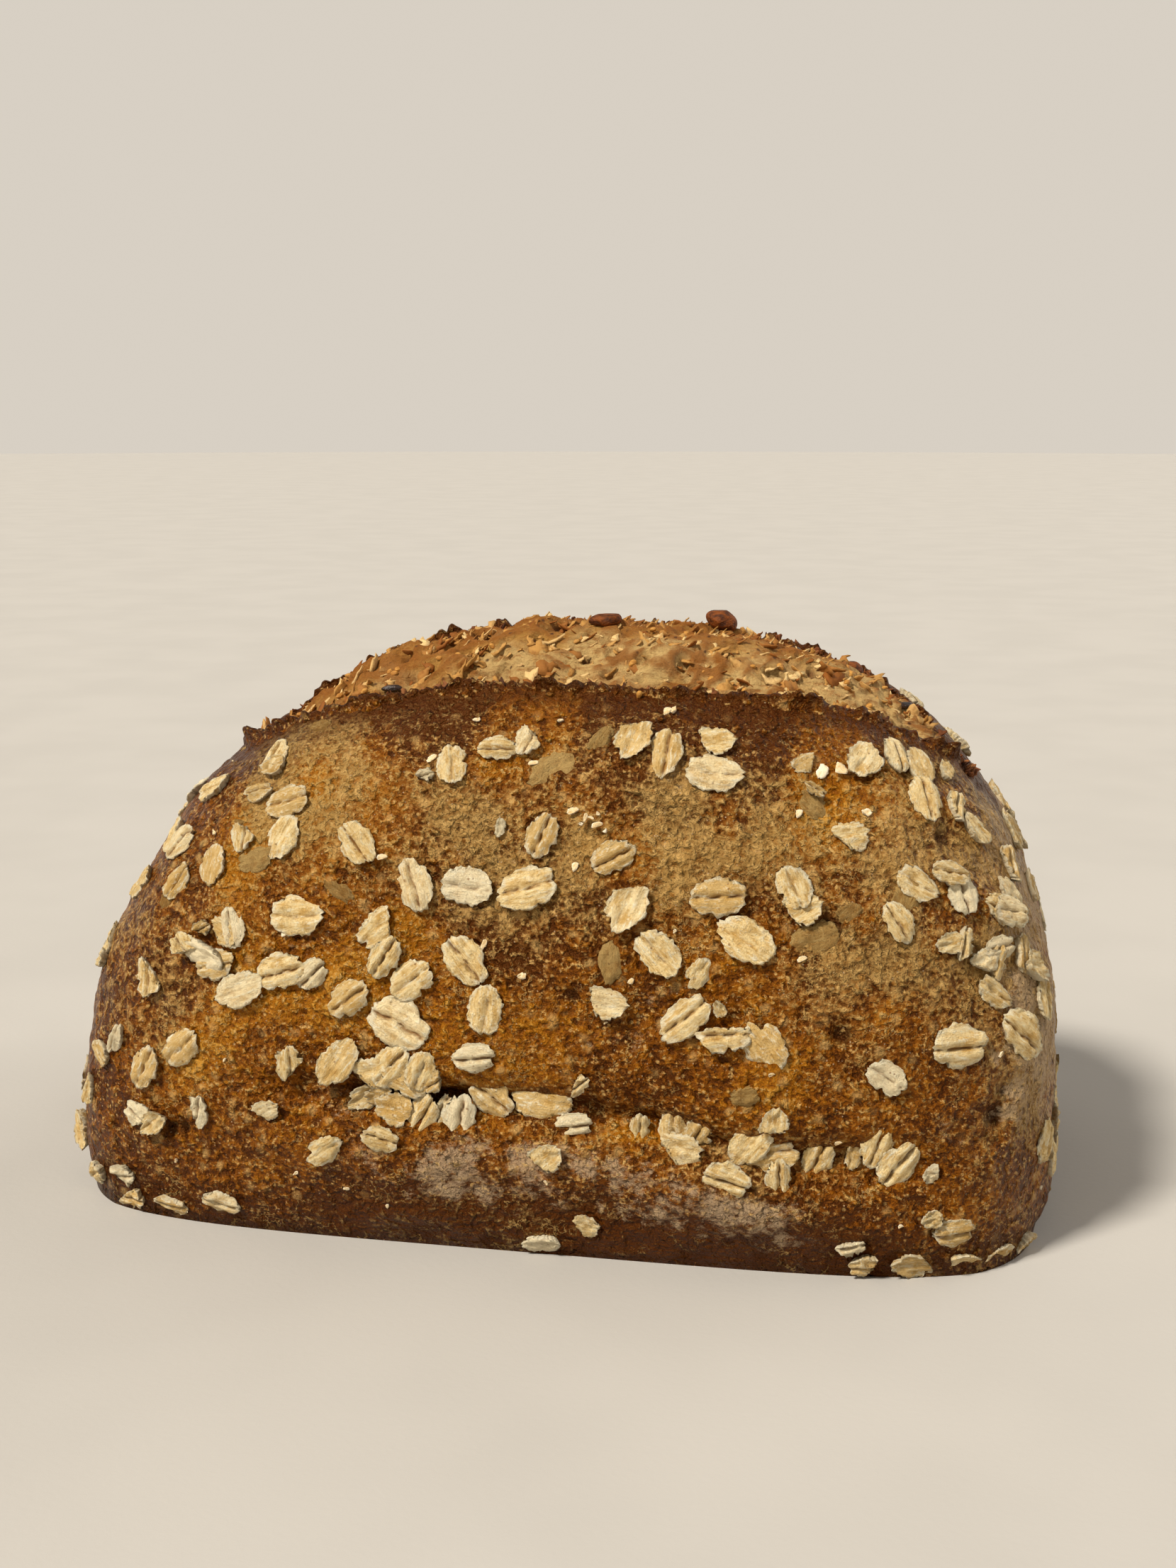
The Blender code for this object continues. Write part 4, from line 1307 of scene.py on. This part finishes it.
class Scatter:
    """Geometry Nodes that set variants of one kind on marked points and realize them."""

    def __init__(self, name: str, finish: bpy.types.Material) -> None:
        """Build the node tree once for one kind of piece."""
        self.name = name
        self.finish = finish
        self.tree = bpy.data.node_groups.new(name + "Tree", "GeometryNodeTree")
        face = self.tree.interface
        self.sockets = {}
        for label, kind in (
            ("Points", "NodeSocketGeometry"),
            ("Variants", "NodeSocketCollection"),
            ("Overall Size", "NodeSocketFloat"),
            ("Finish", "NodeSocketMaterial"),
        ):
            self.sockets[label] = face.new_socket(label, in_out="INPUT", socket_type=kind).identifier
        face.new_socket("Pieces", in_out="OUTPUT", socket_type="NodeSocketGeometry")
        self.wire()

    def named(self, label: str, kind: str) -> bpy.types.NodeSocket:
        """Read one named value of the points."""
        made = self.tree.nodes.new("GeometryNodeInputNamedAttribute")
        made.data_type = kind
        made.inputs["Name"].default_value = label
        return next(out for out in made.outputs if out.enabled and out.name == "Attribute")

    def wire(self) -> None:
        """Link the nodes from the points to the realized pieces."""
        nodes, link = self.tree.nodes, self.tree.links.new
        entry = nodes.new("NodeGroupInput")
        leave = nodes.new("NodeGroupOutput")
        source = nodes.new("GeometryNodeCollectionInfo")
        source.inputs["Separate Children"].default_value = True
        source.inputs["Reset Children"].default_value = True
        link(entry.outputs["Variants"], source.inputs["Collection"])
        turn = nodes.new("FunctionNodeEulerToRotation")
        link(self.named("turned", "FLOAT_VECTOR"), turn.inputs[0])
        sized = nodes.new("ShaderNodeVectorMath")
        sized.operation = "SCALE"
        link(self.named("size", "FLOAT_VECTOR"), sized.inputs[0])
        link(entry.outputs["Overall Size"], sized.inputs["Scale"])
        lay = nodes.new("GeometryNodeInstanceOnPoints")
        lay.inputs["Pick Instance"].default_value = True
        link(entry.outputs["Points"], lay.inputs["Points"])
        link(source.outputs[0], lay.inputs["Instance"])
        link(self.named("variant", "INT"), lay.inputs["Instance Index"])
        link(turn.outputs[0], lay.inputs["Rotation"])
        link(sized.outputs[0], lay.inputs["Scale"])
        real = nodes.new("GeometryNodeRealizeInstances")
        dress = nodes.new("GeometryNodeSetMaterial")
        link(lay.outputs[0], real.inputs[0])
        link(real.outputs[0], dress.inputs["Geometry"])
        link(entry.outputs["Finish"], dress.inputs["Material"])
        link(dress.outputs[0], leave.inputs[0])

    def lay(self, variants: Sequence[bpy.types.Object], spots: Sequence[Spot]) -> bpy.types.Object:
        """Set the variants on the spots and bake them into one mesh.

        Args:
            variants: Objects to choose from; they are removed afterwards.
            spots: Where each piece lies.

        Returns:
            The finished piece.
        """
        home = bpy.data.collections.new(self.name + "Variants")
        bpy.context.scene.collection.children.link(home)
        for item in variants:
            bpy.context.scene.collection.objects.unlink(item)
            home.objects.link(item)
        mesh = bpy.data.meshes.new(self.name + "Points")
        mesh.from_pydata([tuple(v * MM for v in spot.place) for spot in spots], [], [])
        chosen = [index % len(variants) for index in range(len(spots))]
        for label, kind, key, values in (
            ("turned", "FLOAT_VECTOR", "vector", [spot.turned for spot in spots]),
            ("size", "FLOAT_VECTOR", "vector", [spot.size for spot in spots]),
            ("tone", "FLOAT", "value", [spot.tone for spot in spots]),
            ("variant", "INT", "value", chosen),
        ):
            layer = mesh.attributes.new(label, kind, "POINT")
            layer.data.foreach_set(key, np.array(values).ravel())
        carrier = add_object(self.name + "Carrier", mesh)
        maker = carrier.modifiers.new("Scatter", "NODES")
        maker.node_group = self.tree
        maker[self.sockets["Variants"]] = home
        maker[self.sockets["Overall Size"]] = 1.0
        maker[self.sockets["Finish"]] = self.finish
        bpy.context.view_layer.update()
        baked = bpy.data.meshes.new_from_object(
            carrier.evaluated_get(bpy.context.evaluated_depsgraph_get())
        )
        carrier.modifiers.remove(maker)
        for item in [carrier, *variants]:
            bpy.data.objects.remove(item, do_unlink=True)
        bpy.data.collections.remove(home)
        places = np.empty(3 * len(baked.vertices), np.float32)
        baked.vertices.foreach_get("co", places)
        held = hold_in_box(places.reshape(-1, 3) / MM) * MM
        baked.vertices.foreach_set("co", held.astype(np.float32).ravel())
        baked.name = self.name
        baked.shade_smooth()
        baked.update()
        return settle(add_object(self.name, baked))


@dataclass
class FlakeLayout:
    """Where the flakes lie: as shown on the front, and by a seeded rule elsewhere."""

    form: LoafForm
    seed: int = 11
    back_count: int = 66
    end_count: int = 20
    floor: float = 9.0
    top: float = 95.0
    cluster_gap: float = 8.5
    single_gap: float = 11.5
    cluster_share: float = 0.4
    touching: float = 5.6
    layer_rise: float = 0.55
    whole: Places = field(
        default_factory=lambda: {
            91: ((-7, 0, 0.85), (24, 83, 1.15)),
            88: ((-15, 100, 0.9), (33, -5, 1.2), (69, 65, 1.0)),
            83: ((70, 80, 1.05),),
            80: ((-65, 45, 0.95), (-46, 22, 1.0)),
            77: ((3, 70, 0.95), (79, -70, 0.85)),
            74: ((-46, 72, 1.0), (-31, -48, 1.05), (16, 28, 0.95)),
            70: ((-70, 65, 0.95), (48, -65, 0.95), (69, -35, 0.95)),
            68: (
                (-60, 95, 0.9), (-20, -70, 1.15), (-10, -5, 1.1), (1, 17, 1.25),
                (35, 5, 1.15), (77, 90, 0.95),
            ),
            66: ((86, -60, 0.85),),
            64: ((-68, 68, 0.9), (66, -62, 0.9), (84, -35, 0.9)),
            61: ((-80, 68, 0.9), (-42, 5, 1.2), (40, -30, 1.25)),
            58: ((-55, -70, 0.9), (25, -45, 1.1), (84, 0, 0.85)),
            55: ((-25, 60, 0.95), (-10, -50, 1.2), (32, 60, 0.7)),
            51: ((-58, 15, 0.95), (-45, 17, 1.1), (-39, 45, 0.8), (-20, 40, 1.05), (83, -40, 0.9)),
            47: ((-53, 25, 1.15), (-32, 38, 1.0), (-6, 85, 1.05), (30, 40, 1.2), (92, 80, 0.9)),
            43: ((-22, -28, 1.4), (44, -50, 1.1), (77, 0, 1.2), (88, -45, 1.3)),
            38: ((-8, 8, 0.95), (65, -35, 0.9)),
            35: ((-65, 45, 1.0), (-34, 52, 1.2), (-24, 50, 1.05), (-18, 70, 0.9)),
            30: ((-84, -35, 0.7), (-73, 65, 1.0), (-5, -38, 1.05), (4, -5, 1.25)),
            26: ((-18, 60, 1.05), (-11, 78, 1.05), (10, 10, 0.85), (22, 85, 0.7), (28, 88, 1.0)),
            25: ((42, 50, 1.15), (64, 70, 0.95)),
            22: ((-88, 80, 0.75), (-25, -15, 0.8), (54, 65, 0.9), (68, 50, 1.1)),
            19: ((-36, 38, 0.9), (38, -15, 1.0), (47, 90, 0.85)),
            9: ((78, 5, 0.9),),
            5: ((-87, 30, 0.75), (-58, -10, 0.9)),
        }
    )
    broken: Places = field(
        default_factory=lambda: {
            93: ((-1, 70, 0.9), (18, 70, 1.0), (32, 10, 1.0)),
            90: ((49, 20, 0.7), (59, 40, 1.0)),
            86: ((51, -35, 0.5), (74, 70, 0.6), (-20, 20, 0.45)),
            81: ((75, 50, 0.8), (-53, 20, 0.7)),
            78: ((57, 5, 0.95), (-5, 85, 0.4)),
            74: ((-54, 100, 0.9),),
            66: ((19, 65, 1.1), (49, 25, 1.0)),
            60: ((-26, 40, 1.1), (75, 10, 0.7), (77, 70, 0.7)),
            57: ((-57, -15, 0.95), (-61, 30, 0.5)),
            56: ((83, 55, 0.85), (88, 70, 0.8), (81, 20, 0.8)),
            53: ((-60, -20, 1.1), (-64, -40, 0.8), (90, -20, 0.9)),
            49: ((15, 0, 1.1), (-86, 70, 1.05), (36, -60, 0.4)),
            45: ((37, 5, 1.1), (-87, 60, 0.7)),
            34: ((-43, 95, 0.85), (11, 40, 0.6), (-80, 70, 0.7)),
            33: ((-28, 10, 1.0), (-21, -25, 1.05), (-15, 35, 0.7)),
            29: ((-29, 30, 0.8), (46, 80, 0.8), (-26, 0, 0.7)),
            27: ((-23, -12, 0.9), (-15, 60, 0.9)),
            25: ((-48, 20, 0.75), (32, 60, 0.9)),
            23: ((-62, 80, 0.8), (45, 8, 1.2), (29, -5, 1.1), (60, 80, 0.6)),
            20: ((-74, -30, 1.0), (-71, 40, 0.7), (5, 40, 0.9), (74, 30, 0.5)),
            12: ((74, 20, 0.5),),
            7: ((60, 15, 0.6), (12, -5, 0.7), (-80, 10, 0.8)),
            3: ((-78, 4, 0.9), (-69, -6, 0.8), (-88, 12, 0.8), (4, 5, 0.8), (63, 4, 0.8), (71, -5, 0.9)),
            2: ((79, 6, 1.0), (86, -4, 0.9), (91, 10, 0.8)),
        }
    )
    toasted: Places = field(
        default_factory=lambda: {
            93: ((-44, 20, 0.6), (12, 60, 0.7)),
            88: ((4, 30, 1.15),),
            84: ((50, -50, 0.9),),
            75: ((-57, 20, 0.6),),
            70: ((-51, 25, 0.85),),
            66: ((-34, -30, 0.75), (58, 30, 0.6)),
            61: ((52, 15, 1.1), (-70, 70, 0.7)),
            56: ((16, 85, 0.95),),
            34: ((41, 15, 0.65),),
            27: ((4, 5, 0.75),),
        }
    )
    crumbs: Places = field(
        default_factory=lambda: {
            98: ((23, 30, 0.34), (24.6, 80, 0.24)),
            96: ((4, 10, 0.16), (-12, 0, 0.2)),
            89: ((-19, 40, 0.3), (0, 10, 0.25), (52, 60, 0.45), (55, -40, 0.4)),
            82: ((48, 30, 0.3), (60, 10, 0.3)),
            81: ((8.4, 15, 0.30),),
            80: ((10.6, 70, 0.22), (11.8, -20, 0.16)),
            79: ((12.9, 20, 0.28), (10.1, 0, 0.12)),
            78: ((14.4, 60, 0.14),),
            72: ((9, 40, 0.3), (-28, 75, 0.3), (-26, 5, 0.28)),
            58: ((-7, 60, 0.3), (50, 20, 0.25), (-44, 30, 0.3)),
            53: ((0.5, 10, 0.25), (20, 50, 0.2)),
        }
    )

    def laid(self, point: np.ndarray, turn: float, lift: float = 0.0, tilt: float = 0.0) -> tuple:
        """Place and Euler turn of something that lies on the baked surface.

        Args:
            point: Core surface point.
            turn: Turn of the long axis in degrees, right end up.
            lift: Extra height in millimetres.
            tilt: Tilt about the long axis in degrees.

        Returns:
            The place in millimetres and the turn as Euler angles.
        """
        normal = self.form.outward(point[None])[0]
        level = np.cross((0.0, 0.0, 1.0), normal)
        level = np.array((1.0, 0.0, 0.0)) if np.linalg.norm(level) < 1e-3 else unit(level)
        upward = np.cross(normal, level)
        angle = math.radians(turn)
        long_axis = level * math.cos(angle) + upward * math.sin(angle)
        frame_matrix = Matrix((long_axis, np.cross(normal, long_axis), normal)).transposed()
        turned = (frame_matrix @ Matrix.Rotation(math.radians(tilt), 3, "X")).to_euler()
        place = self.form.baked(point[None])[0] + normal * lift
        return tuple(place), tuple(turned)

    def spread(self, draw: random.Random, count: int, side: Side) -> list[tuple]:
        """Spread flakes over one side by the seeded rule.

        Args:
            draw: The random source, shared by all sides.
            count: How many flakes the side gets.
            side: The side to cover.

        Returns:
            Surface point, turn and size of each flake.
        """
        wide = side is Side.BACK
        half = 0.9 * self.form.half_length if wide else 0.8 * self.form.half_depth
        chosen: list[tuple[float, float]] = []
        tries = 0
        while len(chosen) < count and tries < 9000:
            tries += 1
            beside = bool(chosen) and draw.random() < self.cluster_share
            gap = self.cluster_gap if beside else self.single_gap
            if beside:
                near = draw.choice(chosen)
                bearing = draw.uniform(0.0, 2.0 * math.pi)
                reach = draw.uniform(gap, 1.2 * gap)
                across = near[0] + reach * math.cos(bearing)
                up = near[1] + reach * math.sin(bearing)
            else:
                across = draw.uniform(-half, half)
                up = draw.uniform(self.floor, self.top)
            if not self.floor <= up <= self.top or abs(across) > half:
                continue
            point = self.form.on_side(across, up, side)
            room = self.form.section(np.float64(up), across > 0.0)[0 if wide else 1]
            if abs(across) > 0.86 * room or self.form.opening(point) > -4.0:
                continue
            if any(math.hypot(across - a, up - b) < gap for a, b in chosen):
                continue
            chosen.append((across, up))
        return [
            (self.form.on_side(across, up, side), draw.uniform(-90, 90), draw.uniform(0.88, 1.12))
            for across, up in chosen
        ]

    def shown(self, rows: Places) -> list[tuple]:
        """Flakes of the front from rows of places, as surface point, turn and size."""
        found = []
        for up, row in rows.items():
            for along, turn, size in row:
                room = float(self.form.section(np.float64(up), along > 0.0)[0]) - 1.5
                middle = float(self.form.lean(np.float64(up)))
                held = max(-room + middle, min(room + middle, along))
                found.append((self.form.on_side(held, up, Side.FRONT), turn, size))
        return found

    def spots(self, flakes: Sequence[tuple], seed: int, lift: float = 0.0) -> list[Spot]:
        """Turn flakes into spots, each later one resting on those it overlaps."""
        draw = random.Random(seed)
        spots: list[Spot] = []
        for point, turn, size in flakes:
            place, _ = self.laid(point, turn)
            under = sum(math.dist(place, other.place) < self.touching for other in spots)
            rest = lift + self.layer_rise * min(under, 2) + draw.uniform(-0.05, 0.15)
            lean = draw.uniform(-6.0, 6.0) * (1.0 + 1.5 * min(under, 2))
            place, turned = self.laid(point, turn, rest, lean)
            wide = size * draw.uniform(0.88, 1.1)
            spots.append(Spot(place, turned, (size, wide, 1.0), draw.random()))
        return spots

    def all_whole(self) -> list[tuple]:
        """Every whole flake, in the CAD model's own order."""
        draw = random.Random(self.seed)
        flakes = self.shown(self.whole)
        for side in (Side.BACK, Side.LEFT, Side.RIGHT):
            flakes += self.spread(draw, self.back_count if side is Side.BACK else self.end_count, side)
        return flakes

    def extra(self, seed: int, counts: dict[Side, int], low: float, high: float) -> list[tuple]:
        """Small flakes for the sides that turn away, by a seeded rule."""
        draw = random.Random(seed)
        found = []
        for side, count in counts.items():
            wide = side in (Side.BACK, Side.FRONT)
            half = 0.9 * self.form.half_length if wide else 0.85 * self.form.half_depth
            made = 0
            while made < count:
                across, up = draw.uniform(-half, half), draw.uniform(3.0, 98.0)
                room = float(self.form.section(np.float64(up), across > 0.0)[0 if wide else 1])
                if abs(across) > 0.9 * room:
                    continue
                point = self.form.on_side(across, up, side)
                if self.form.opening(point) > -3.0:
                    continue
                found.append((point, draw.uniform(-90.0, 90.0), draw.uniform(low, high)))
                made += 1
        return found


@dataclass
class Toppings:
    """The flakes, kernels, grains and shreds that lie on the loaf."""

    layout: FlakeLayout
    variants: int = 12
    millet_count: int = 46
    flap_count: int = 900
    back_shards: int = 120
    ear_shards: int = 90
    tip_shards: int = 26

    def flakes(self) -> None:
        """Lay whole, broken and toasted flakes, and their crumbs."""
        oat = FlakeFinish().material("RolledOat")
        toast = FlakeFinish(
            cream=(0.56, 0.35, 0.110), golden=(0.36, 0.175, 0.032), rim=(0.62, 0.41, 0.15),
            crease=(0.13, 0.045, 0.006), relief=1.6,
        ).material("ToastedOat")
        layout = self.layout
        others = {Side.BACK: 34, Side.LEFT: 14, Side.RIGHT: 14}
        whole = [OatFlake(FlakeKind.WHOLE, 10 + n).build() for n in range(self.variants)]
        Scatter("OatFlakes", oat).lay(whole, layout.spots(layout.all_whole(), 3))
        parts = [OatFlake(FlakeKind.BROKEN, 40 + n).build() for n in range(self.variants)]
        broken = layout.shown(layout.broken) + layout.extra(21, others, 0.6, 1.1)
        Scatter("BrokenFlakes", oat).lay(parts, layout.spots(broken, 4))
        sunk = [OatFlake(FlakeKind.TOASTED, 70 + n).build() for n in range(6)]
        toasted = layout.shown(layout.toasted) + layout.extra(22, others, 0.7, 1.1)
        Scatter("ToastedFlakes", toast).lay(sunk, layout.spots(toasted, 5, -0.38))
        bits = [
            OatFlake(FlakeKind.BROKEN, 90 + n, columns=6, lines=5, sheet=0.3).build() for n in range(8)
        ]
        fields = {Side.FRONT: 16, Side.BACK: 24, Side.LEFT: 10, Side.RIGHT: 10}
        places = layout.extra(23, fields, 0.09, 0.20) + layout.shown(layout.crumbs)
        white = FlakeFinish(
            cream=(0.90, 0.74, 0.46), golden=(0.74, 0.50, 0.21), rim=(0.95, 0.88, 0.72),
            crease=(0.60, 0.36, 0.12), relief=0.15,
        ).material("OatCrumb")
        crumbs = layout.spots(places, 6, 0.02)
        flat = [replace(spot, size=(0.9 * spot.size[0], 0.8 * spot.size[1], 0.34)) for spot in crumbs]
        Scatter("FlakeCrumbs", white).lay(bits, flat)

    def kernels(self) -> None:
        """Lay the dark kernels, the linseed and the millet grains."""
        form = self.layout.form

        def lie(along: float, across: float, turn: float, tilt: float, lift: float) -> tuple:
            point = form.top_point(along, across)
            place = form.baked(point[None])[0] + form.outward(point[None])[0] * lift
            spin = Euler((0.0, math.radians(-tilt), math.radians(turn)))
            return tuple(place), tuple(spin)

        sizes = (("kernel_a", 6.6, 5.4, 1), ("kernel_b", 6.6, 3.8, 2), ("kernel_c", 6.0, 4.4, 3))
        kernels = [Seedling(*size, 16, 20).build() for size in sizes]
        rows = ((29.5, 2.0, 0.0, -24.0, 2.3), (8.0, -8.0, 5.0, 4.0, 1.2), (55.0, 2.0, -10.0, -14.0, 1.5))
        spots = [Spot(*lie(*row), (1.0, 1.0, 1.0), 0.5) for row in rows]
        brown = KernelFinish((0.20, 0.052, 0.006), (0.050, 0.012, 0.002), 0.45).material("KernelSkin")
        Scatter("Kernels", brown).lay(kernels, spots)
        seeds = [Seedling("linseed_a", 4.2, 2.0, 4).build(), Seedling("linseed_b", 3.8, 1.9, 5).build()]
        rows = ((-31.5, -23.0, 15.0, 0.0, 0.9), (-12.0, 6.0, 60.0, 0.0, 0.6), (44.0, 7.0, -30.0, 0.0, 0.6))
        rows += ((66.0, -4.0, 20.0, 0.0, 0.6), (20.0, 10.0, -60.0, 0.0, 0.5))
        spots = [Spot(*lie(*row), (1.0, 1.0, 1.0), 0.5) for row in rows]
        skin, dark = (0.035, 0.014, 0.008), (0.008, 0.004, 0.003)
        black = KernelFinish(skin, dark, 0.12, 0.5).material("LinseedSkin")
        Scatter("Linseed", black).lay(seeds, spots)
        grains = [Seedling(f"millet_{n}", 1.7, 1.4, 6 + n, 6, 8).build() for n in range(3)]
        draw = random.Random(31)
        rows = [(17.8, -28.5, 0.0, 70.0, 0.4), (36.8, -24.6, 0.0, 60.0, 0.4), (55.7, -20.7, 0.0, 20.0, 0.4)]
        while len(rows) < self.millet_count:
            along, across = draw.uniform(-60.0, 74.0), draw.uniform(-25.0, 14.0)
            if form.opening(form.top_point(along, across)) > 1.5:
                rows.append((along, across, draw.uniform(0.0, 180.0), draw.uniform(-40.0, 40.0), 0.55))
        spots = [Spot(*lie(*row), (draw.uniform(0.8, 1.1),) * 3, draw.random()) for row in rows]
        gold = KernelFinish((0.56, 0.28, 0.06), (0.40, 0.17, 0.03), 0.35).material("MilletSkin")
        Scatter("MilletGrains", gold).lay(grains, spots)

    def shreds(self) -> None:
        """Lay torn crumb threads in the opening and curled crust shards on its edges."""
        form = self.layout.form
        draw = random.Random(41)

        def stand(point: np.ndarray, heading: float, pitch: float, sink: float) -> tuple:
            normal = form.outward(point[None])[0]
            along = unit(np.cross((-math.sin(heading), math.cos(heading), 0.0), normal))
            turned = Matrix((along, np.cross(normal, along), normal)).transposed()
            rolled = Matrix.Rotation(draw.uniform(-0.5, 0.5), 3, "X")
            turned = turned @ Matrix.Rotation(-pitch, 3, "Y") @ rolled
            place = form.baked(point[None])[0] - normal * sink
            return tuple(place), tuple(turned.to_euler())

        flaps = [Shred(f"flap_{n}", 2.4, 1.9, 50 + n, 0.7).build() for n in range(10)]
        spots = []
        while len(spots) < self.flap_count:
            along, across = draw.uniform(-64.0, 78.0), draw.uniform(-27.0, 15.0)
            point = form.top_point(along, across)
            if form.opening(point) < 0.6:
                continue
            heading = draw.gauss(0.5, 0.75) + (math.pi if draw.random() < 0.2 else 0.0)
            spin = stand(point, heading, draw.uniform(-0.10, 0.42), -0.10)
            long = 0.35 + 1.35 * draw.random() ** 2.0
            spots.append(Spot(*spin, (long, long * draw.uniform(0.5, 1.2), long), draw.random()))
        Scatter("CrumbFlaps", FlapFinish().material("CrumbFlap")).lay(flaps, spots)
        shards = [Shred(f"shard_{n}", 1.9, 2.3, 60 + n, 0.7).build() for n in range(8)]
        spots = []
        for edge, first, last, count in (
            (TornEdge.BACK, -58.0, 74.0, self.back_shards),
            (TornEdge.EAR, -63.0, 77.0, self.ear_shards),
        ):
            for _ in range(count):
                along = draw.uniform(first, last)
                across = form.edge_line(np.array((along,)), edge)
                point = form.on_top(np.array((along,)), across)[0]
                spin = stand(point, draw.uniform(0.0, 2.0 * math.pi), draw.uniform(0.1, 0.8), 0.0)
                long = draw.uniform(0.4, 1.05)
                spots.append(Spot(*spin, (long, long * draw.uniform(0.5, 1.1), long), draw.random()))
        for _ in range(self.tip_shards):
            across = form.edge_line(np.array((77.0,)), TornEdge.EAR) + draw.uniform(-2.0, 3.0)
            point = form.on_top(np.array((77.0 + draw.uniform(-2.5, 2.0),)), across)[0]
            spin = stand(point, draw.uniform(0.0, 2.0 * math.pi), draw.uniform(0.5, 1.4), 0.2)
            long = draw.uniform(0.8, 1.6)
            spots.append(Spot(*spin, (long, long * draw.uniform(0.6, 1.0), long), draw.random()))
        char = FlapFinish((0.17, 0.05, 0.012), (0.06, 0.018, 0.006), (0.26, 0.10, 0.03))
        Scatter("CrustShards", char.material("CrustShard")).lay(shards, spots)


@dataclass
class Studio:
    """Plain pale floor, soft light and the camera of the shown view."""

    camera_place: tuple[float, float, float] = (0.0646, -0.3483, 0.1525)
    turn: float = 10.0
    pitch: float = 12.0
    focal_pixels: float = 2500.0
    image_height: float = 2212.0
    floor_colour: Colour = (0.465, 0.447, 0.420)
    horizon: Colour = (0.685, 0.628, 0.550)
    zenith: Colour = (0.285, 0.262, 0.23)

    def floor(self) -> None:
        """Lay a wide plain floor under the loaf."""
        shape = bmesh.new()
        bmesh.ops.create_circle(shape, cap_ends=True, segments=64, radius=6.0)
        mesh = bpy.data.meshes.new("Floor")
        shape.to_mesh(mesh)
        shape.free()
        shade = Shader("PaleFloor")
        soft = shade.speckle(60.0, 2.0)
        worn = tuple(0.95 * part for part in self.floor_colour)
        colour = shade.blend(shade.band(soft, 0.3, 0.7), self.floor_colour, worn)
        mesh.materials.append(shade.finish(colour, 0.8, shade.bump(shade.speckle(1.5), 0.05)))
        add_object("Floor", mesh)

    def sky(self) -> None:
        """Set a plain sky, pale at the horizon and dimmer overhead."""
        world = bpy.data.worlds.new("Studio")
        world.use_nodes = True
        nodes, link = world.node_tree.nodes, world.node_tree.links.new
        ray = nodes.new("ShaderNodeTexCoord")
        split = nodes.new("ShaderNodeSeparateXYZ")
        rise = nodes.new("ShaderNodeMapRange")
        rise.interpolation_type = "SMOOTHSTEP"
        rise.inputs["From Min"].default_value = 0.22
        rise.inputs["From Max"].default_value = 0.50
        mixed = nodes.new("ShaderNodeMix")
        mixed.data_type = "RGBA"
        mixed.inputs[6].default_value = (*self.horizon, 1.0)
        mixed.inputs[7].default_value = (*self.zenith, 1.0)
        link(ray.outputs["Generated"], split.inputs[0])
        link(split.outputs["Z"], rise.inputs["Value"])
        link(rise.outputs["Result"], mixed.inputs["Factor"])
        link(mixed.outputs[2], nodes["Background"].inputs["Color"])
        bpy.context.scene.world = world

    def lights(self) -> None:
        """Set the broad key light and a weak light from behind."""
        for name, place, spread, power, tint in (
            ("KeyLight", (-0.50, -0.52, 0.90), 11.0, 4.3, (1.0, 0.93, 0.82)),
            ("BackLight", (0.75, 0.50, 0.65), 50.0, 1.0, (1.0, 0.95, 0.88)),
        ):
            lamp = bpy.data.lights.new(name, "SUN")
            lamp.angle = math.radians(spread)
            lamp.energy = power
            lamp.color = tint
            item = add_object(name, lamp)
            item.location = place
            item.rotation_euler = (-Vector(place)).to_track_quat("-Z", "Y").to_euler()

    def camera(self) -> None:
        """Set the camera where the shown view was taken from."""
        lens = bpy.data.cameras.new("Camera")
        lens.sensor_width = 36.0
        lens.lens = self.focal_pixels / self.image_height * lens.sensor_width
        lens.clip_start = 0.01
        item = add_object("Camera", lens)
        item.location = self.camera_place
        item.rotation_euler = (math.radians(90.0 - self.pitch), 0.0, math.radians(self.turn))
        bpy.context.scene.camera = item

    def build(self) -> None:
        """Set floor, lights, camera and plain colour output."""
        self.floor()
        self.sky()
        self.lights()
        self.camera()
        scene = bpy.context.scene
        scene.view_settings.view_transform = "Standard"
        scene.view_settings.look = "None"
        scene.cycles.use_denoising = True


def main() -> None:
    """Build the loaf's pieces in order, then the studio."""
    logging.basicConfig(level=logging.INFO, format="%(name)s %(message)s")
    form = LoafForm()
    Crust(form).build()
    TornCrumb(form).build()
    peaks = ((-61.5, 2.2, 2.6), (-55.0, 1.6, 1.2), (-34.0, 5.0, 1.0), (-15.0, 2.2, 1.2), (0.0, 1.8, 1.6))
    peaks += ((24.0, 2.5, 0.9), (47.0, 3.6, 1.9), (74.0, 2.4, 2.6))
    TornLip(form, TornEdge.EAR, -67.0, 78.5, 0.4, 2.2, peaks, fade=5.0).build()
    crags = ((-52.0, 3.5, 1.3), (-40.0, 5.0, 1.9), (-28.0, 4.0, 1.6), (-17.0, 2.5, 1.3))
    TornLip(form, TornEdge.BACK, -60.0, 76.0, 0.2, 2.0, crags).build()
    toppings = Toppings(FlakeLayout(form))
    toppings.flakes()
    toppings.kernels()
    toppings.shreds()
    Studio().build()


if __name__ == "__main__":
    main()
